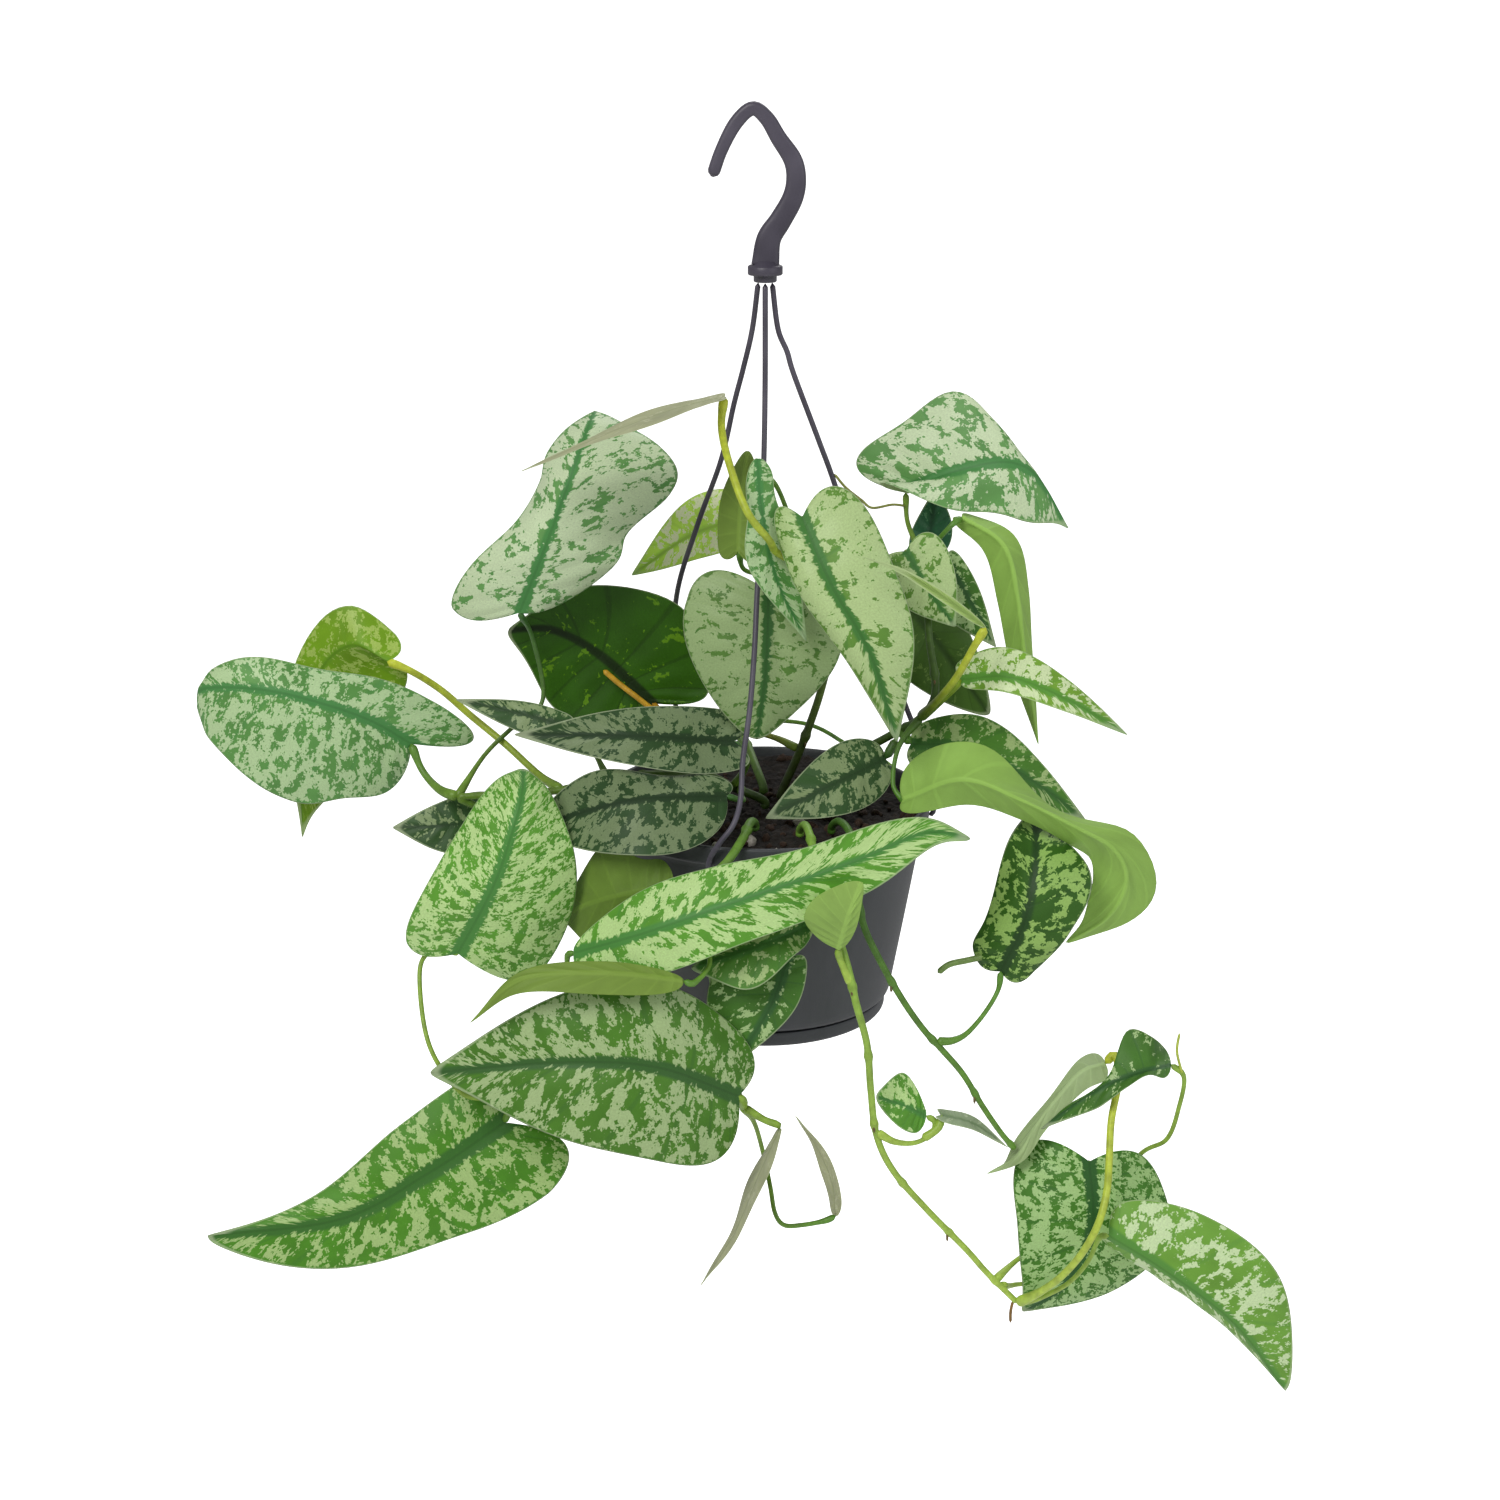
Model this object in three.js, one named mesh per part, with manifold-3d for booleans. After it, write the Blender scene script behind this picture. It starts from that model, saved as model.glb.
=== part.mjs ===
// Satin pothos (Scindapsus pictus) growing in a 15 cm hanging nursery pot.
// Millimetres, +Z up. The origin is the inside of the hook's crown, where the pot hangs on its rail:
// everything hangs below it, and +Y points away from the side that the plant is shown from.

import * as THREE from 'three';
import * as BufferGeometryUtils from 'three/addons/utils/BufferGeometryUtils.js';
import Module from 'manifold-3d';

const wasm = await Module();
wasm.setup();

// ---------------------------------------------------------------- driving dimensions

const AXIS_X = 4.5; // pot and hanger collar share this upright axis; the hook leans a little off it
const GAP = 0.3; // air between pieces that touch

const RIM_Z = -300; // top of the pot's rim
const RIM_RADIUS = 75; // 15 cm pot
const RIM_DEPTH = 8; // height of the thickened rim
const WALL = 1.5;
const BASE_Z = -393; // underside of the pot
const BASE_RADIUS = 58.5; // just above the rounded bottom edge
const SAUCER_Z = -400; // underside of the drip saucer
const SAUCER_RADIUS = 56;
const SOIL_Z = -306; // top of the soil

const HOOK_THICKNESS = 6; // across the flat of the hook
const HOOK_EDGE = 1; // rounding of the hook's edges
const HOOK_STEPS = 30; // points along each side of the hook
const COLLAR_Z = -62; // top of the collar below the hook
const COLLAR_RADIUS = 7.5;
const COLLAR_SIDES = 24;
const COLLAR_HEIGHT = 4;
const STUB_RADIUS = 5; // tapered stub under the collar that the three straps grow from
const STUB_HEIGHT = 3;
const STRAP_RADIUS = 1.2;
const STRAP_SIDES = 6;
const STRAP_SPACING = 4; // between the rings of a strap

const STEM_SIDES = 7;
const STEM_SPACING = 8; // between the rings of a stem or petiole
const PETIOLE_RADIUS = 1.3;
const PETIOLE_SIDES = 5;
const PETIOLE_GAP = 2; // from the blade's base to the end of the petiole, between its lobes
const BLADE_THICKNESS = 1.2; // along the midrib; a blade thins to an edge at its margin
const BLADE_ROWS = 9; // rows of veins from base to tip
const BLADE_COLUMNS = 2; // faces from midrib to margin
const LOBE = 0.3; // how far the two lobes of a heart-shaped base reach back
const TAPER = 0.75; // how strongly the blade narrows towards its tip

// ---------------------------------------------------------------- hook, collar and straps

// Centreline of the hook in its own plane, from its free tip over the crown to the collar: x, z, width
const HOOK_LINE = [
  [-18, -25, 5.5],
  [-14, -14, 5.5],
  [-8, -3, 6],
  [-1, 3, 6],
  [5, -1, 6.5],
  [10, -9, 7],
  [16, -18, 8],
  [17.5, -26, 8.5],
  [16, -34, 9],
  [11, -43, 9.5],
  [6, -51, 10.5],
  [4.5, -62, 12],
];

// Straps from the collar's stub to the outside of the rim, a third of a turn apart
const STRAPS = {
  strap_left: [
    [1.5, 1, -69.6], [-1, 6, -90], [-5, 11, -108], [-9, 16, -124], [-15, 24, -151], [-26, 34, -183],
    [-36, 46, -219], [-38, 58, -262], [-36, 67, -290], [-35.3, 66.6, -302], [-35, 66.4, -308],
    [-34.6, 65.6, -310.2], [-33.8, 64.3, -310.4],
  ],
  strap_front: [
    [4.5, -1.5, -69.6], [4.5, -8, -110], [4, -14, -142], [3, -22, -168], [1, -34, -199], [0, -43, -219],
    [-2, -53, -243], [-5, -61, -264], [-6, -69, -279], [-9, -76, -288], [-15, -77.5, -296],
    [-19, -73.6, -304], [-19.7, -73.4, -308.4], [-19.5, -72.4, -310.2], [-19.1, -70.8, -310.4],
  ],
  strap_right: [
    [7.5, 1, -69.6], [10, 1, -89], [14, 1, -99], [17, 2, -109], [28, 3, -138], [36, 4, -160],
    [52, 8, -211], [66, 12, -254], [78, 9, -284], [82, 5, -294], [82, 3, -303],
    [81.8, 2.4, -308.4], [80.8, 2.4, -310.2], [79.3, 2.4, -310.4],
  ],
};

// ---------------------------------------------------------------- leaves

// One blade each. The midrib runs from the blade's base to its tip. Seen from above with the tip
// ahead, left and right are the half-widths where the blade is widest: one vector holds all along, and
// a list is spread evenly from base to tip. lobes gives the left and right lobe where they differ.
// The petiole runs from the blade's base to the stem that carries it.
const CROWN_LEFT_NODE = [-130, -42, -287];
const CROWN_TOP_NODE = [23, -12, -198];
const CROWN_RIGHT_NODE = [74, -14, -259];
const CROWN_RIGHT_TIP = [74, 6, -197];
const CROWN_BACK_NODE = [-9, 73, -286];
const LOW_NODE = [-49, -90, -351];
const LOW_TIP = [-115, -86, -410];
const LOW_BRANCH_TIP = [-5, -92, -412];
const FRONT_TIP = [118, -82, -513];

const LEAVES = {
  leaf_01: {
    midrib: [[-105, 5, -216], [-92, -5, -184], [-81, -4, -155], [-74, 10, -136], [-71, 26, -129]],
    left: [[-40, 14, -1], [-28, 12, 3], [-17, 14, 2], [-18, 23, -2], [-29, 20, -10], [-26, 18, -9]],
    right: [[26, 8, -8], [38, 11, 1], [34, 18, -5], [51, 24, -10], [63, 26, -18], [57, 23, -16]],
    lobes: [0.25, 0],
    cup: 3,
    taper: 0.3,
    stem: 'crown_left',
    petiole: [[-100, 14, -231], [-96, 10, -258], [-109, 0, -268], [-120, -20, -275], CROWN_LEFT_NODE],
  },
  leaf_02: {
    midrib: [[-13, -25, -114], [-35, -30, -119], [-61, -34, -128], [-99, -30, -145]],
    left: [[1, -22, 1]],
    right: [[-1, 22, -1]],
    lobes: [0.1, 0.1],
    stem: 'crown_middle',
    petiole: [
      [-14, -30, -127], [-10, -46, -141], [-3, -58, -157], [6, -57, -169], [9, -48, -176],
      [17, -45, -181], [22, -38, -184], [23, -28, -189], CROWN_TOP_NODE,
    ],
  },
  leaf_03: {
    midrib: [[-8, 48, -183], [-30, 54, -192], [-57, 56, -211]],
    left: [[2, 0, -13]],
    right: [[-4, 2, 16]],
    stem: 'crown_middle',
    petiole: [[5, 36, -185], [16, 8, -193], CROWN_TOP_NODE],
  },
  leaf_04: {
    midrib: [[-7, -6, -186], [-6, 0, -166], [-3, 16, -145]],
    left: [[9, -6, 0]],
    right: [[-10, 8, -1]],
    taper: 0.2,
    stem: 'crown_middle',
    petiole: [[-4, 2, -196], [9, 2, -198], CROWN_TOP_NODE],
  },
  leaf_05: {
    midrib: [[1, -34, -139], [3, -43, -159], [9, -45, -188], [22, -44, -216]],
    left: [[9, 2, -4], [6, 6, 7], [14, 11, 11], [13, 10, 10]],
    right: [[-7, -5, -6], [-7, -2, 4], [-17, -8, 7], [-15, -7, 6]],
    lobes: [0.1, 0.1],
    stem: 'crown_middle',
    petiole: [
      [1, -28, -145], [8, -23, -151], [13, -13, -163], [17, -9, -177], [19, -10, -188], CROWN_TOP_NODE,
    ],
  },
  leaf_06: {
    midrib: [[20, -48, -161], [32, -60, -187], [49, -64, -217], [61, -54, -258]],
    left: [[26, 6, 9]],
    right: [[-13, 4, -7]],
    cup: 3,
    stem: 'crown_middle',
    petiole: [[21, -30, -177], CROWN_TOP_NODE],
  },
  leaf_07: {
    midrib: [[6, -24, -199], [5, -30, -231], [1, -28, -265]],
    left: [[30, 8, -6], [34, 4, 2], [31, 4, 2]],
    right: [[-36, 6, -5], [-39, 7, 1], [-35, 6, 1]],
    lobes: [0.1, 0.5],
    cup: 3,
    taper: 0.35,
    stem: 'crown_middle',
    petiole: [[12, -15, -198], CROWN_TOP_NODE],
  },
  leaf_08: {
    midrib: [[-47, 28, -265], [-70, 30, -243], [-92, 28, -230], [-112, 24, -229]],
    left: [[-13, -5, -30], [-19, -4, -27], [-16, -4, -38], [-10, -2, -23]],
    right: [[30, 3, 8], [32, 0, 29], [12, 2, 32], [7, 1, 19]],
    lobes: [0.3, 0.3],
    taper: 0.4,
    stem: 'crown_middle',
    petiole: [[-38, 20, -270], [-16, 21, -274], [7, 16, -277], [20, 6, -280]],
  },
  leaf_09: {
    midrib: [[-9, -28, -266], [-50, -46, -258], [-105, -34, -261]],
    left: [[0, -12, -12]],
    right: [[0, 14, 11]],
    stem: 'crown_left',
    petiole: [[-3, -20, -277], [-6, -12, -287], [-10, -10, -293]],
  },
  leaf_10: {
    midrib: [[-12, -56, -282], [-49, -66, -280], [-80, -56, -291], [-100, -38, -302]],
    left: [[1, -22, -20], [0, -17, -19], [0, -9, -12]],
    right: [[-11, 12, 7], [3, 16, 6], [3, 21, 19], [3, 21, 19]],
    lobes: [0.05, 0.3],
    taper: 0.5,
    stem: 'crown_left',
    petiole: [[-5, -47, -287], [-6, -24, -292], [-6, -8, -294]],
  },
  leaf_11: {
    midrib: [[-117, -28, -302], [-137, -34, -303], [-160, -34, -304]],
    left: [[0, -6, -13]],
    right: [[0, 6, 12]],
    stem: 'crown_left',
    petiole: [[-117, -35, -297], CROWN_LEFT_NODE],
  },
  leaf_12: {
    midrib: [
      [-152, -22, -269], [-168, -30, -256], [-189, -36, -246], [-214, -36, -240], [-241, -28, -242],
      [-247, -16, -254],
    ],
    left: [[-8, 17, -42], [-6, 9, -43], [-2, 9, -55], [3, 6, -52], [2, 4, -31]],
    right: [[12, 14, 14], [9, 15, 13], [9, 13, 11], [9, 7, 19], [5, 4, 11]],
    lobes: [0.05, 0.55],
    cup: 2,
    taper: 0.1,
    stem: 'crown_left',
    petiole: [[-147, -26, -280], [-139, -34, -286], CROWN_LEFT_NODE],
  },
  leaf_13: {
    midrib: [[-163, -8, -235], [-181, 0, -230], [-198, 8, -248], [-206, 6, -285], [-207, 2, -321]],
    left: [[8, 10, -8], [34, -2, -12], [33, -2, -17], [21, 1, -27], [13, 1, -16]],
    right: [[4, 17, 12], [-3, 4, 18], [-12, 5, 5], [-10, 5, 0], [-7, 3, 0]],
    lobes: [0.1, 0.2],
    stem: 'crown_left',
    petiole: [
      [-153, -6, -240], [-141, 2, -251], [-128, 2, -263], [-112, -6, -274], [-96, -20, -284],
      [-85, -36, -286],
    ],
  },
  leaf_14: {
    midrib: [
      [-129, -68, -350], [-112, -80, -316], [-103, -82, -291], [-99, -72, -276], [-100, -52, -271],
    ],
    left: [[-29, 7, 3], [-25, 6, 8], [-22, 18, 13], [-26, 27, 3], [-16, 16, 2]],
    right: [[40, 7, -17], [39, 11, -4], [33, 18, 1], [24, 27, -5], [14, 16, -3]],
    lobes: [0.25, 0.25],
    cup: 3,
    taper: 0.35,
    stem: 'vine_low',
    petiole: [
      [-135, -60, -352], [-142, -58, -353], [-147, -60, -361], [-144, -76, -380], [-138, -84, -394],
      [-127, -86, -408], LOW_TIP,
    ],
  },
  leaf_15: {
    midrib: [
      [-77, -90, -341], [-48, -104, -327], [-19, -108, -315], [40, -104, -295], [71, -98, -284],
      [90, -94, -288],
    ],
    left: [[1, 10, 10], [-2, 16, 15], [-4, 16, 12], [-3, 16, 9], [-2, 20, 13], [-1, 12, 8]],
    right: [[2, -9, -19], [5, 0, -21], [9, -2, -16], [8, 0, -19], [8, -4, -18], [5, -2, -11]],
    lobes: [0.05, 0.05],
    taper: 0.3,
    stem: 'vine_low',
    petiole: [[-80, -87, -344], [-79, -87, -355], [-71, -92, -368], [-66, -94, -375]],
  },
  leaf_16: {
    midrib: [[25, -82, -331], [2, -92, -337], [-27, -90, -348]],
    left: [[-1, -5, -9], [8, -4, -6], [7, -10, -17], [4, -6, -10]],
    right: [[-1, 5, 5], [5, 6, 9], [-3, 11, 5], [-2, 7, 3]],
    lobes: [0.1, 0.1],
    taper: 0.3,
    stem: 'vine_front',
    petiole: [[34, -92, -329]],
  },
  leaf_17: {
    midrib: [[14, -80, -348], [7, -86, -367], [-9, -86, -395]],
    left: [[10, 0, -4]],
    right: [[-30, 5, 0]],
    stem: 'vine_front',
    petiole: [[19, -75, -337], [24, -74, -318], [26, -82, -303]],
  },
  leaf_18: {
    midrib: [[-110, -78, -426], [-142, -88, -445], [-182, -92, -466], [-240, -96, -472]],
    left: [[21, -8, -32], [11, -4, -28], [-1, -4, -47]],
    right: [[-15, 10, 20], [-14, 8, 16], [-9, 4, 4]],
    lobes: [0.4, 0.4],
    cup: 2,
    taper: 0.6,
    stem: 'vine_low',
    petiole: [[-108, -82, -417], LOW_TIP],
  },
  leaf_19: {
    midrib: [[-7, -100, -403], [-42, -114, -383], [-82, -114, -381], [-139, -98, -393]],
    left: [[-5, -10, -39], [0, -10, -40]],
    right: [[-3, 12, 33], [0, 12, 40]],
    lobes: [0.12, 0.3],
    cup: 3,
    stem: 'vine_low',
    petiole: [[-5, -97, -407], LOW_BRANCH_TIP],
  },
  leaf_20: {
    midrib: [[11, -95, -421], [1, -98, -444], [-9, -95, -472], [-24, -88, -501]],
    left: [[3, -18, 8]],
    right: [[-3, 18, -8]],
    lobes: [0.05, 0.05],
    stem: 'vine_low',
    petiole: [[10, -95, -419], [4, -94, -417], LOW_BRANCH_TIP],
  },
  leaf_21: {
    midrib: [[36, -85, -468], [34, -85, -451], [27, -82, -435], [18, -80, -422]],
    left: [[-3, 12, -6]],
    right: [[3, -12, 6]],
    lobes: [0.05, 0.05],
    stem: 'vine_low',
    petiole: [
      [31, -86, -470], [21, -88, -471], [13, -88, -471], [9, -86, -466], [7, -79, -457], [4, -69, -446],
      [0, -77, -427], LOW_BRANCH_TIP,
    ],
  },
  leaf_22: {
    midrib: [[75, -84, -420], [65, -86, -414], [53, -84, -411]],
    left: [[-1, -6, -9]],
    right: [[0, 3, 5], [0, 6, 14], [0, 5, 10]],
    lobes: [0, 0.1],
    taper: 0.3,
    stem: 'vine_front',
    petiole: [[79, -84, -423], [77, -86, -428], [70, -88, -431], [61, -91, -429], [53, -94, -423]],
  },
  leaf_23: {
    midrib: [[82, -83, -420], [96, -86, -423], [111, -84, -435]],
    left: [[1, 5, 1]],
    right: [[-1, -5, -1]],
    stem: 'vine_front',
    petiole: [[80, -86, -425], [73, -87, -430]],
  },
  leaf_24: {
    midrib: [
      [156, -60, -406], [145, -64, -408], [135, -66, -419], [126, -68, -431], [117, -70, -446],
      [104, -70, -455],
    ],
    left: [[-1, 26, 0], [-4, 5, -2], [-7, 6, -8], [-9, 9, -10], [-5, 5, -6]],
    right: [[3, -17, -6], [3, -5, -5], [2, -6, -3], [3, -6, -3], [2, -4, -2]],
    lobes: [0.05, 0.05],
    taper: 0.3,
    stem: 'vine_front',
    petiole: [
      [160, -60, -402], [161, -68, -410], [157, -78, -425], [155, -90, -439], [153, -100, -449],
      [149, -106, -461], [143, -104, -476], [135, -98, -491], [127, -90, -503], FRONT_TIP,
    ],
  },
  leaf_25: {
    midrib: [[183, -72, -401], [161, -76, -406], [145, -76, -415], [127, -72, -432]],
    left: [[-2, -17, -6], [1, -7, 1], [1, -6, -2], [3, -6, -4], [7, -6, -3], [5, -4, -3], [3, -2, -2]],
    right: [[8, 50, -9], [6, 14, 12], [3, 14, 17], [5, 5, 5], [6, 5, 3], [5, 4, 6], [3, 2, 4]],
    lobes: [0.02, 0.02],
    taper: 0.3,
    stem: 'vine_front',
    petiole: [
      [189, -72, -407], [188, -70, -422], [184, -66, -440], [173, -56, -454], [158, -50, -489],
      [136, -55, -514], [118, -66, -513], [111, -81, -505],
    ],
  },
  leaf_26: {
    midrib: [[35, -103, -334], [39, -112, -315], [44, -114, -300]],
    left: [[5, 0, 0]],
    right: [[-17, -2, 7]],
    lobes: [0, 0],
    taper: 0.2,
    stem: 'vine_front',
    petiole: [[36, -100, -340], [41, -99, -352]],
  },
  leaf_27: {
    midrib: [[149, -72, -448], [150, -82, -474], [140, -82, -502], [122, -74, -522]],
    left: [[36, 8, -15]],
    right: [[-34, 8, -5]],
    lobes: [0.4, 0.4],
    cup: 3,
    stem: 'vine_front',
    petiole: [[148, -62, -462], [137, -60, -488], [118, -68, -500], [108, -81, -502]],
  },
  leaf_28: {
    midrib: [[155, -100, -470], [179, -110, -482], [209, -114, -505], [235, -108, -542]],
    left: [[13, 8, 20], [34, 8, 31]],
    right: [[1, 18, -14]],
    lobes: [0.2, 0.2],
    cup: 2,
    taper: 0.6,
    stem: 'vine_front',
    petiole: [[151, -98, -472], [147, -95, -485], [139, -90, -499], [128, -84, -509], FRONT_TIP],
  },
  leaf_29: {
    midrib: [[67, 12, -163], [88, 4, -152], [111, 0, -147], [125, 2, -155], [139, 8, -178]],
    left: [[-24, 14, 16], [-22, 16, 19], [-24, 17, 35], [-31, 11, 35], [-19, 7, 21]],
    right: [[-20, -10, 10], [-8, -7, -13], [-9, -5, -25], [-9, -6, -32], [-5, -4, -19]],
    lobes: [0.3, 0.15],
    cup: 2,
    stem: 'crown_right',
    petiole: [[68, 14, -176], [72, 12, -187], CROWN_RIGHT_TIP],
  },
  leaf_30: {
    midrib: [[77, 24, -194], [80, 26, -178], [81, 28, -165]],
    left: [[-8, 4, 1]],
    right: [[11, 4, 1]],
    stem: 'crown_right',
    petiole: [[76, 14, -196], CROWN_RIGHT_TIP],
  },
  leaf_31: {
    midrib: [[91, -2, -171], [109, -10, -182], [116, -10, -206], [121, -4, -238], [129, 6, -278]],
    left: [[-9, 8, -4]],
    right: [[6, 10, 2]],
    lobes: [0.1, 0.1],
    stem: 'crown_right',
    petiole: [[86, -6, -174], [80, -3, -182], [77, 2, -190], CROWN_RIGHT_TIP],
  },
  leaf_32: {
    midrib: [[66, -12, -184], [76, -18, -200], [88, -16, -217]],
    left: [[14, 5, 8]],
    right: [[-13, 0, -9]],
    stem: 'crown_right',
    petiole: [[69, -2, -190], CROWN_RIGHT_TIP],
  },
  leaf_33: {
    midrib: [[85, 0, -191], [96, 4, -210], [108, 2, -231]],
    left: [[6, 2, 3]],
    right: [[-13, 0, -8]],
    lobes: [0.3, 0.03],
    stem: 'crown_right',
    petiole: [[81, 6, -191], CROWN_RIGHT_TIP],
  },
  leaf_34: {
    midrib: [[91, -20, -240], [111, -34, -235], [137, -36, -245], [164, -28, -263]],
    left: [[1, 12, 10]],
    right: [[-2, -4, -6]],
    lobes: [0.2, 0.05],
    stem: 'crown_right',
    petiole: [[84, -20, -248], CROWN_RIGHT_NODE],
  },
  leaf_35: {
    midrib: [[70, -12, -272], [98, -20, -272], [127, -20, -289], [149, -16, -307]],
    left: [[4, 12, 12]],
    right: [[-4, -8, -14]],
    lobes: [0.1, 0.1],
    stem: 'crown_right',
    petiole: [[65, -4, -268]],
  },
  leaf_36: {
    midrib: [[59, -6, -281], [34, -20, -289], [5, -30, -301]],
    left: [[6, -8, -13]],
    right: [[-6, 10, 12]],
    lobes: [0.1, 0.1],
    stem: 'crown_right',
    petiole: [[64, -4, -272]],
  },
  leaf_37: {
    midrib: [
      [65, -40, -289], [89, -54, -275], [114, -60, -282], [140, -58, -296], [157, -52, -308],
      [164, -46, -325], [157, -42, -343], [140, -36, -358],
    ],
    left: [[0, 0, -13], [4, 8, -15], [1, 10, -13], [-8, 13, -11], [-25, 8, -5], [-14, 4, -2]],
    right: [[0, 14, 25], [9, 16, 11], [8, 18, -5], [15, 17, 0], [23, 14, -12], [14, 8, -7]],
    lobes: [0.1, 0.1],
    taper: 0.3,
    stem: 'crown_right',
    petiole: [[65, -37, -290], [61, -32, -284], [64, -22, -270], CROWN_RIGHT_NODE],
  },
  leaf_38: {
    midrib: [[108, -62, -361], [117, -68, -335], [122, -58, -312], [124, -32, -297]],
    left: [[-15, 17, 3], [-16, 16, -5], [-20, 18, -7], [-26, 12, -3]],
    right: [[17, 2, -1], [21, 2, -6], [34, 1, -5], [18, 8, 0]],
    lobes: [0.2, 0.3],
    cup: 2,
    taper: 0.5,
    stem: 'vine_right',
    petiole: [[107, -62, -370], [101, -68, -378], [93, -74, -385], [86, -80, -386], [79, -83, -385]],
  },
  leaf_39: {
    midrib: [[-35, -79, -316], [-49, -76, -318], [-67, -69, -325], [-85, -54, -338]],
    left: [[-1, 12, 13], [7, 2, 15], [4, 5, 31], [2, 3, 19]],
    right: [[-1, -7, -30], [5, -4, -17], [3, 0, -28], [2, 0, -17]],
    lobes: [0.1, 0.1],
    taper: 0.3,
    stem: 'vine_low',
    petiole: [[-33, -84, -319], [-29, -88, -321]],
  },
  leaf_41: {
    midrib: [[-30, -109, -346], [-64, -115, -340], [-98, -115, -343], [-120, -109, -365]],
    left: [[0, 4, 4]],
    right: [[0, -7, -7]],
    lobes: [0.03, 0.03],
    stem: 'vine_low',
    petiole: [[-25, -108, -347], [-19, -98, -340], [-29, -88, -321]],
  },
  leaf_42: {
    midrib: [[-84, -16, -262], [-108, -12, -257], [-133, -10, -252]],
    left: [[0, -5, -8]],
    right: [[0, 5, 5]],
    stem: 'crown_left',
    petiole: [[-74, -10, -273], [-64, -32, -283]],
  },
  leaf_43: {
    midrib: [[-44, 80, -318], [-58, 98, -352], [-72, 108, -396]],
    left: [[-22, 10, 2]],
    right: [[22, 0, -5]],
    lobes: [0.1, 0.1],
    cup: 2,
    stem: 'crown_back',
    petiole: [[-42, 74, -308], [-44, 62, -294], [-36, 50, -281], CROWN_BACK_NODE],
  },
  leaf_44: {
    midrib: [[-4, 92, -308], [-7, 124, -363], [-15, 130, -419]],
    left: [[-30, -6, 2]],
    right: [[30, -6, 2]],
    lobes: [0.1, 0.1],
    cup: 2,
    stem: 'crown_back',
    petiole: [[-6, 86, -303], [-9, 79, -293], CROWN_BACK_NODE],
  },
  leaf_45: {
    midrib: [[48, 89, -308], [57, 112, -356], [64, 118, -406]],
    left: [[-28, -4, 1]],
    right: [[27, -6, -1]],
    lobes: [0.1, 0.1],
    cup: 2,
    stem: 'crown_back',
    petiole: [[42, 83, -300], [24, 79, -290], CROWN_BACK_NODE],
  },
  leaf_48: {
    midrib: [[68, 19, -214], [87, 26, -240], [108, 24, -269]],
    left: [[13, 4, 8]],
    right: [[-18, 0, -15]],
    lobes: [0.1, 0.1],
    cup: 2,
    taper: 0.5,
    stem: 'crown_right',
    petiole: [[69, 15, -207], [71, 10, -201], CROWN_RIGHT_TIP],
  },
  // The newest leaf, still rolled up
  leaf_49: {
    midrib: [[98, -52, -208], [77, -66, -190], [60, -74, -178], [44, -74, -172]],
    left: [[-1, 0, -2]],
    right: [[1, 0, 2]],
    lobes: [0, 0],
    stem: 'crown_right',
    petiole: [[94, -50, -216], [87, -46, -231], [81, -36, -243], CROWN_RIGHT_NODE],
  },
};

// ---------------------------------------------------------------- stems

// Each stem is one grown piece: its limbs, and the petioles of the leaves it carries
const STEMS = {
  crown_left: {
    radius: 2,
    limbs: [
      [[4, -5, -305.3], [4, -5, -301], [-10, -10, -293], [-22, -16, -286], [-51, -30, -281],
        [-85, -36, -286], CROWN_LEFT_NODE],
    ],
  },
  crown_middle: {
    radius: 2,
    limbs: [
      [[12, 8, -305.3], [13, 8, -300], [21, 6, -280], [30, 2, -251], [34, -4, -226], [29, -10, -208],
        [21, -13, -190]],
    ],
  },
  crown_right: {
    radius: 2,
    limbs: [
      [[20, 0, -305.3], [21, 0, -300], [28, 3, -295], [44, 6, -284], [61, 0, -272], CROWN_RIGHT_NODE,
        [80, -16, -246], [77, -14, -224], [76, -6, -207], CROWN_RIGHT_TIP],
    ],
  },
  crown_back: {
    radius: 2,
    limbs: [
      [[4, 15, -305.3], [4, 15, -301], [1, 24, -295], [-4, 45, -288], CROWN_BACK_NODE],
    ],
  },
  vine_front: {
    radius: 1.8,
    limbs: [
      [[20, -44, -305.3], [20, -45, -301], [22, -57, -295], [24, -72, -296], [26, -84, -304],
        [32, -92, -322], [39, -98, -343], [43, -100, -360], [48, -98, -380], [50, -96, -402],
        [53, -93, -425], [61, -90, -444], [77, -87, -465], [94, -84, -485], [104, -82, -498], FRONT_TIP],
    ],
  },
  vine_right: {
    radius: 1.7,
    limbs: [
      [[34, -40, -305.3], [34, -41, -301], [37, -52, -295], [41, -66, -296], [43, -78, -308],
        [46, -84, -329], [54, -86, -347], [64, -86, -365], [73, -84, -379], [81, -82, -389],
        [91, -80, -402], [100, -78, -418], [109, -74, -433], [116, -70, -443]],
    ],
  },
  vine_low: {
    radius: 2,
    limbs: [
      [[0, -36, -305.3], [0, -37, -301], [-2, -54, -295], [-5, -72, -295.5], [-12, -85, -302],
        [-23, -88, -311], [-36, -88, -329], LOW_NODE, [-66, -94, -375], [-88, -94, -396], LOW_TIP],
      [[-23, -88, -311], [-21, -82, -331], [-18, -74, -360], [-14, -78, -391], LOW_BRANCH_TIP],
    ],
  },
};

// ---------------------------------------------------------------- materials

const finish = (color, roughness, metalness = 0) =>
  new THREE.MeshStandardMaterial({ color, roughness, metalness });
const POT_PLASTIC = finish('#45474c', 0.55);
const HANGER_PLASTIC = finish('#4a4756', 0.45);
const POTTING_SOIL = finish('#2a1c14', 1);
const LEAF_GREEN = finish('#6f9a5c', 0.5);
const STEM_GREEN = finish('#7aa23c', 0.5);

const part = new THREE.Group();

function addPiece(name, geometry, material) {
  const mesh = new THREE.Mesh(geometry, material.clone());
  mesh.name = name;
  part.add(mesh);
  return mesh;
}

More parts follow.
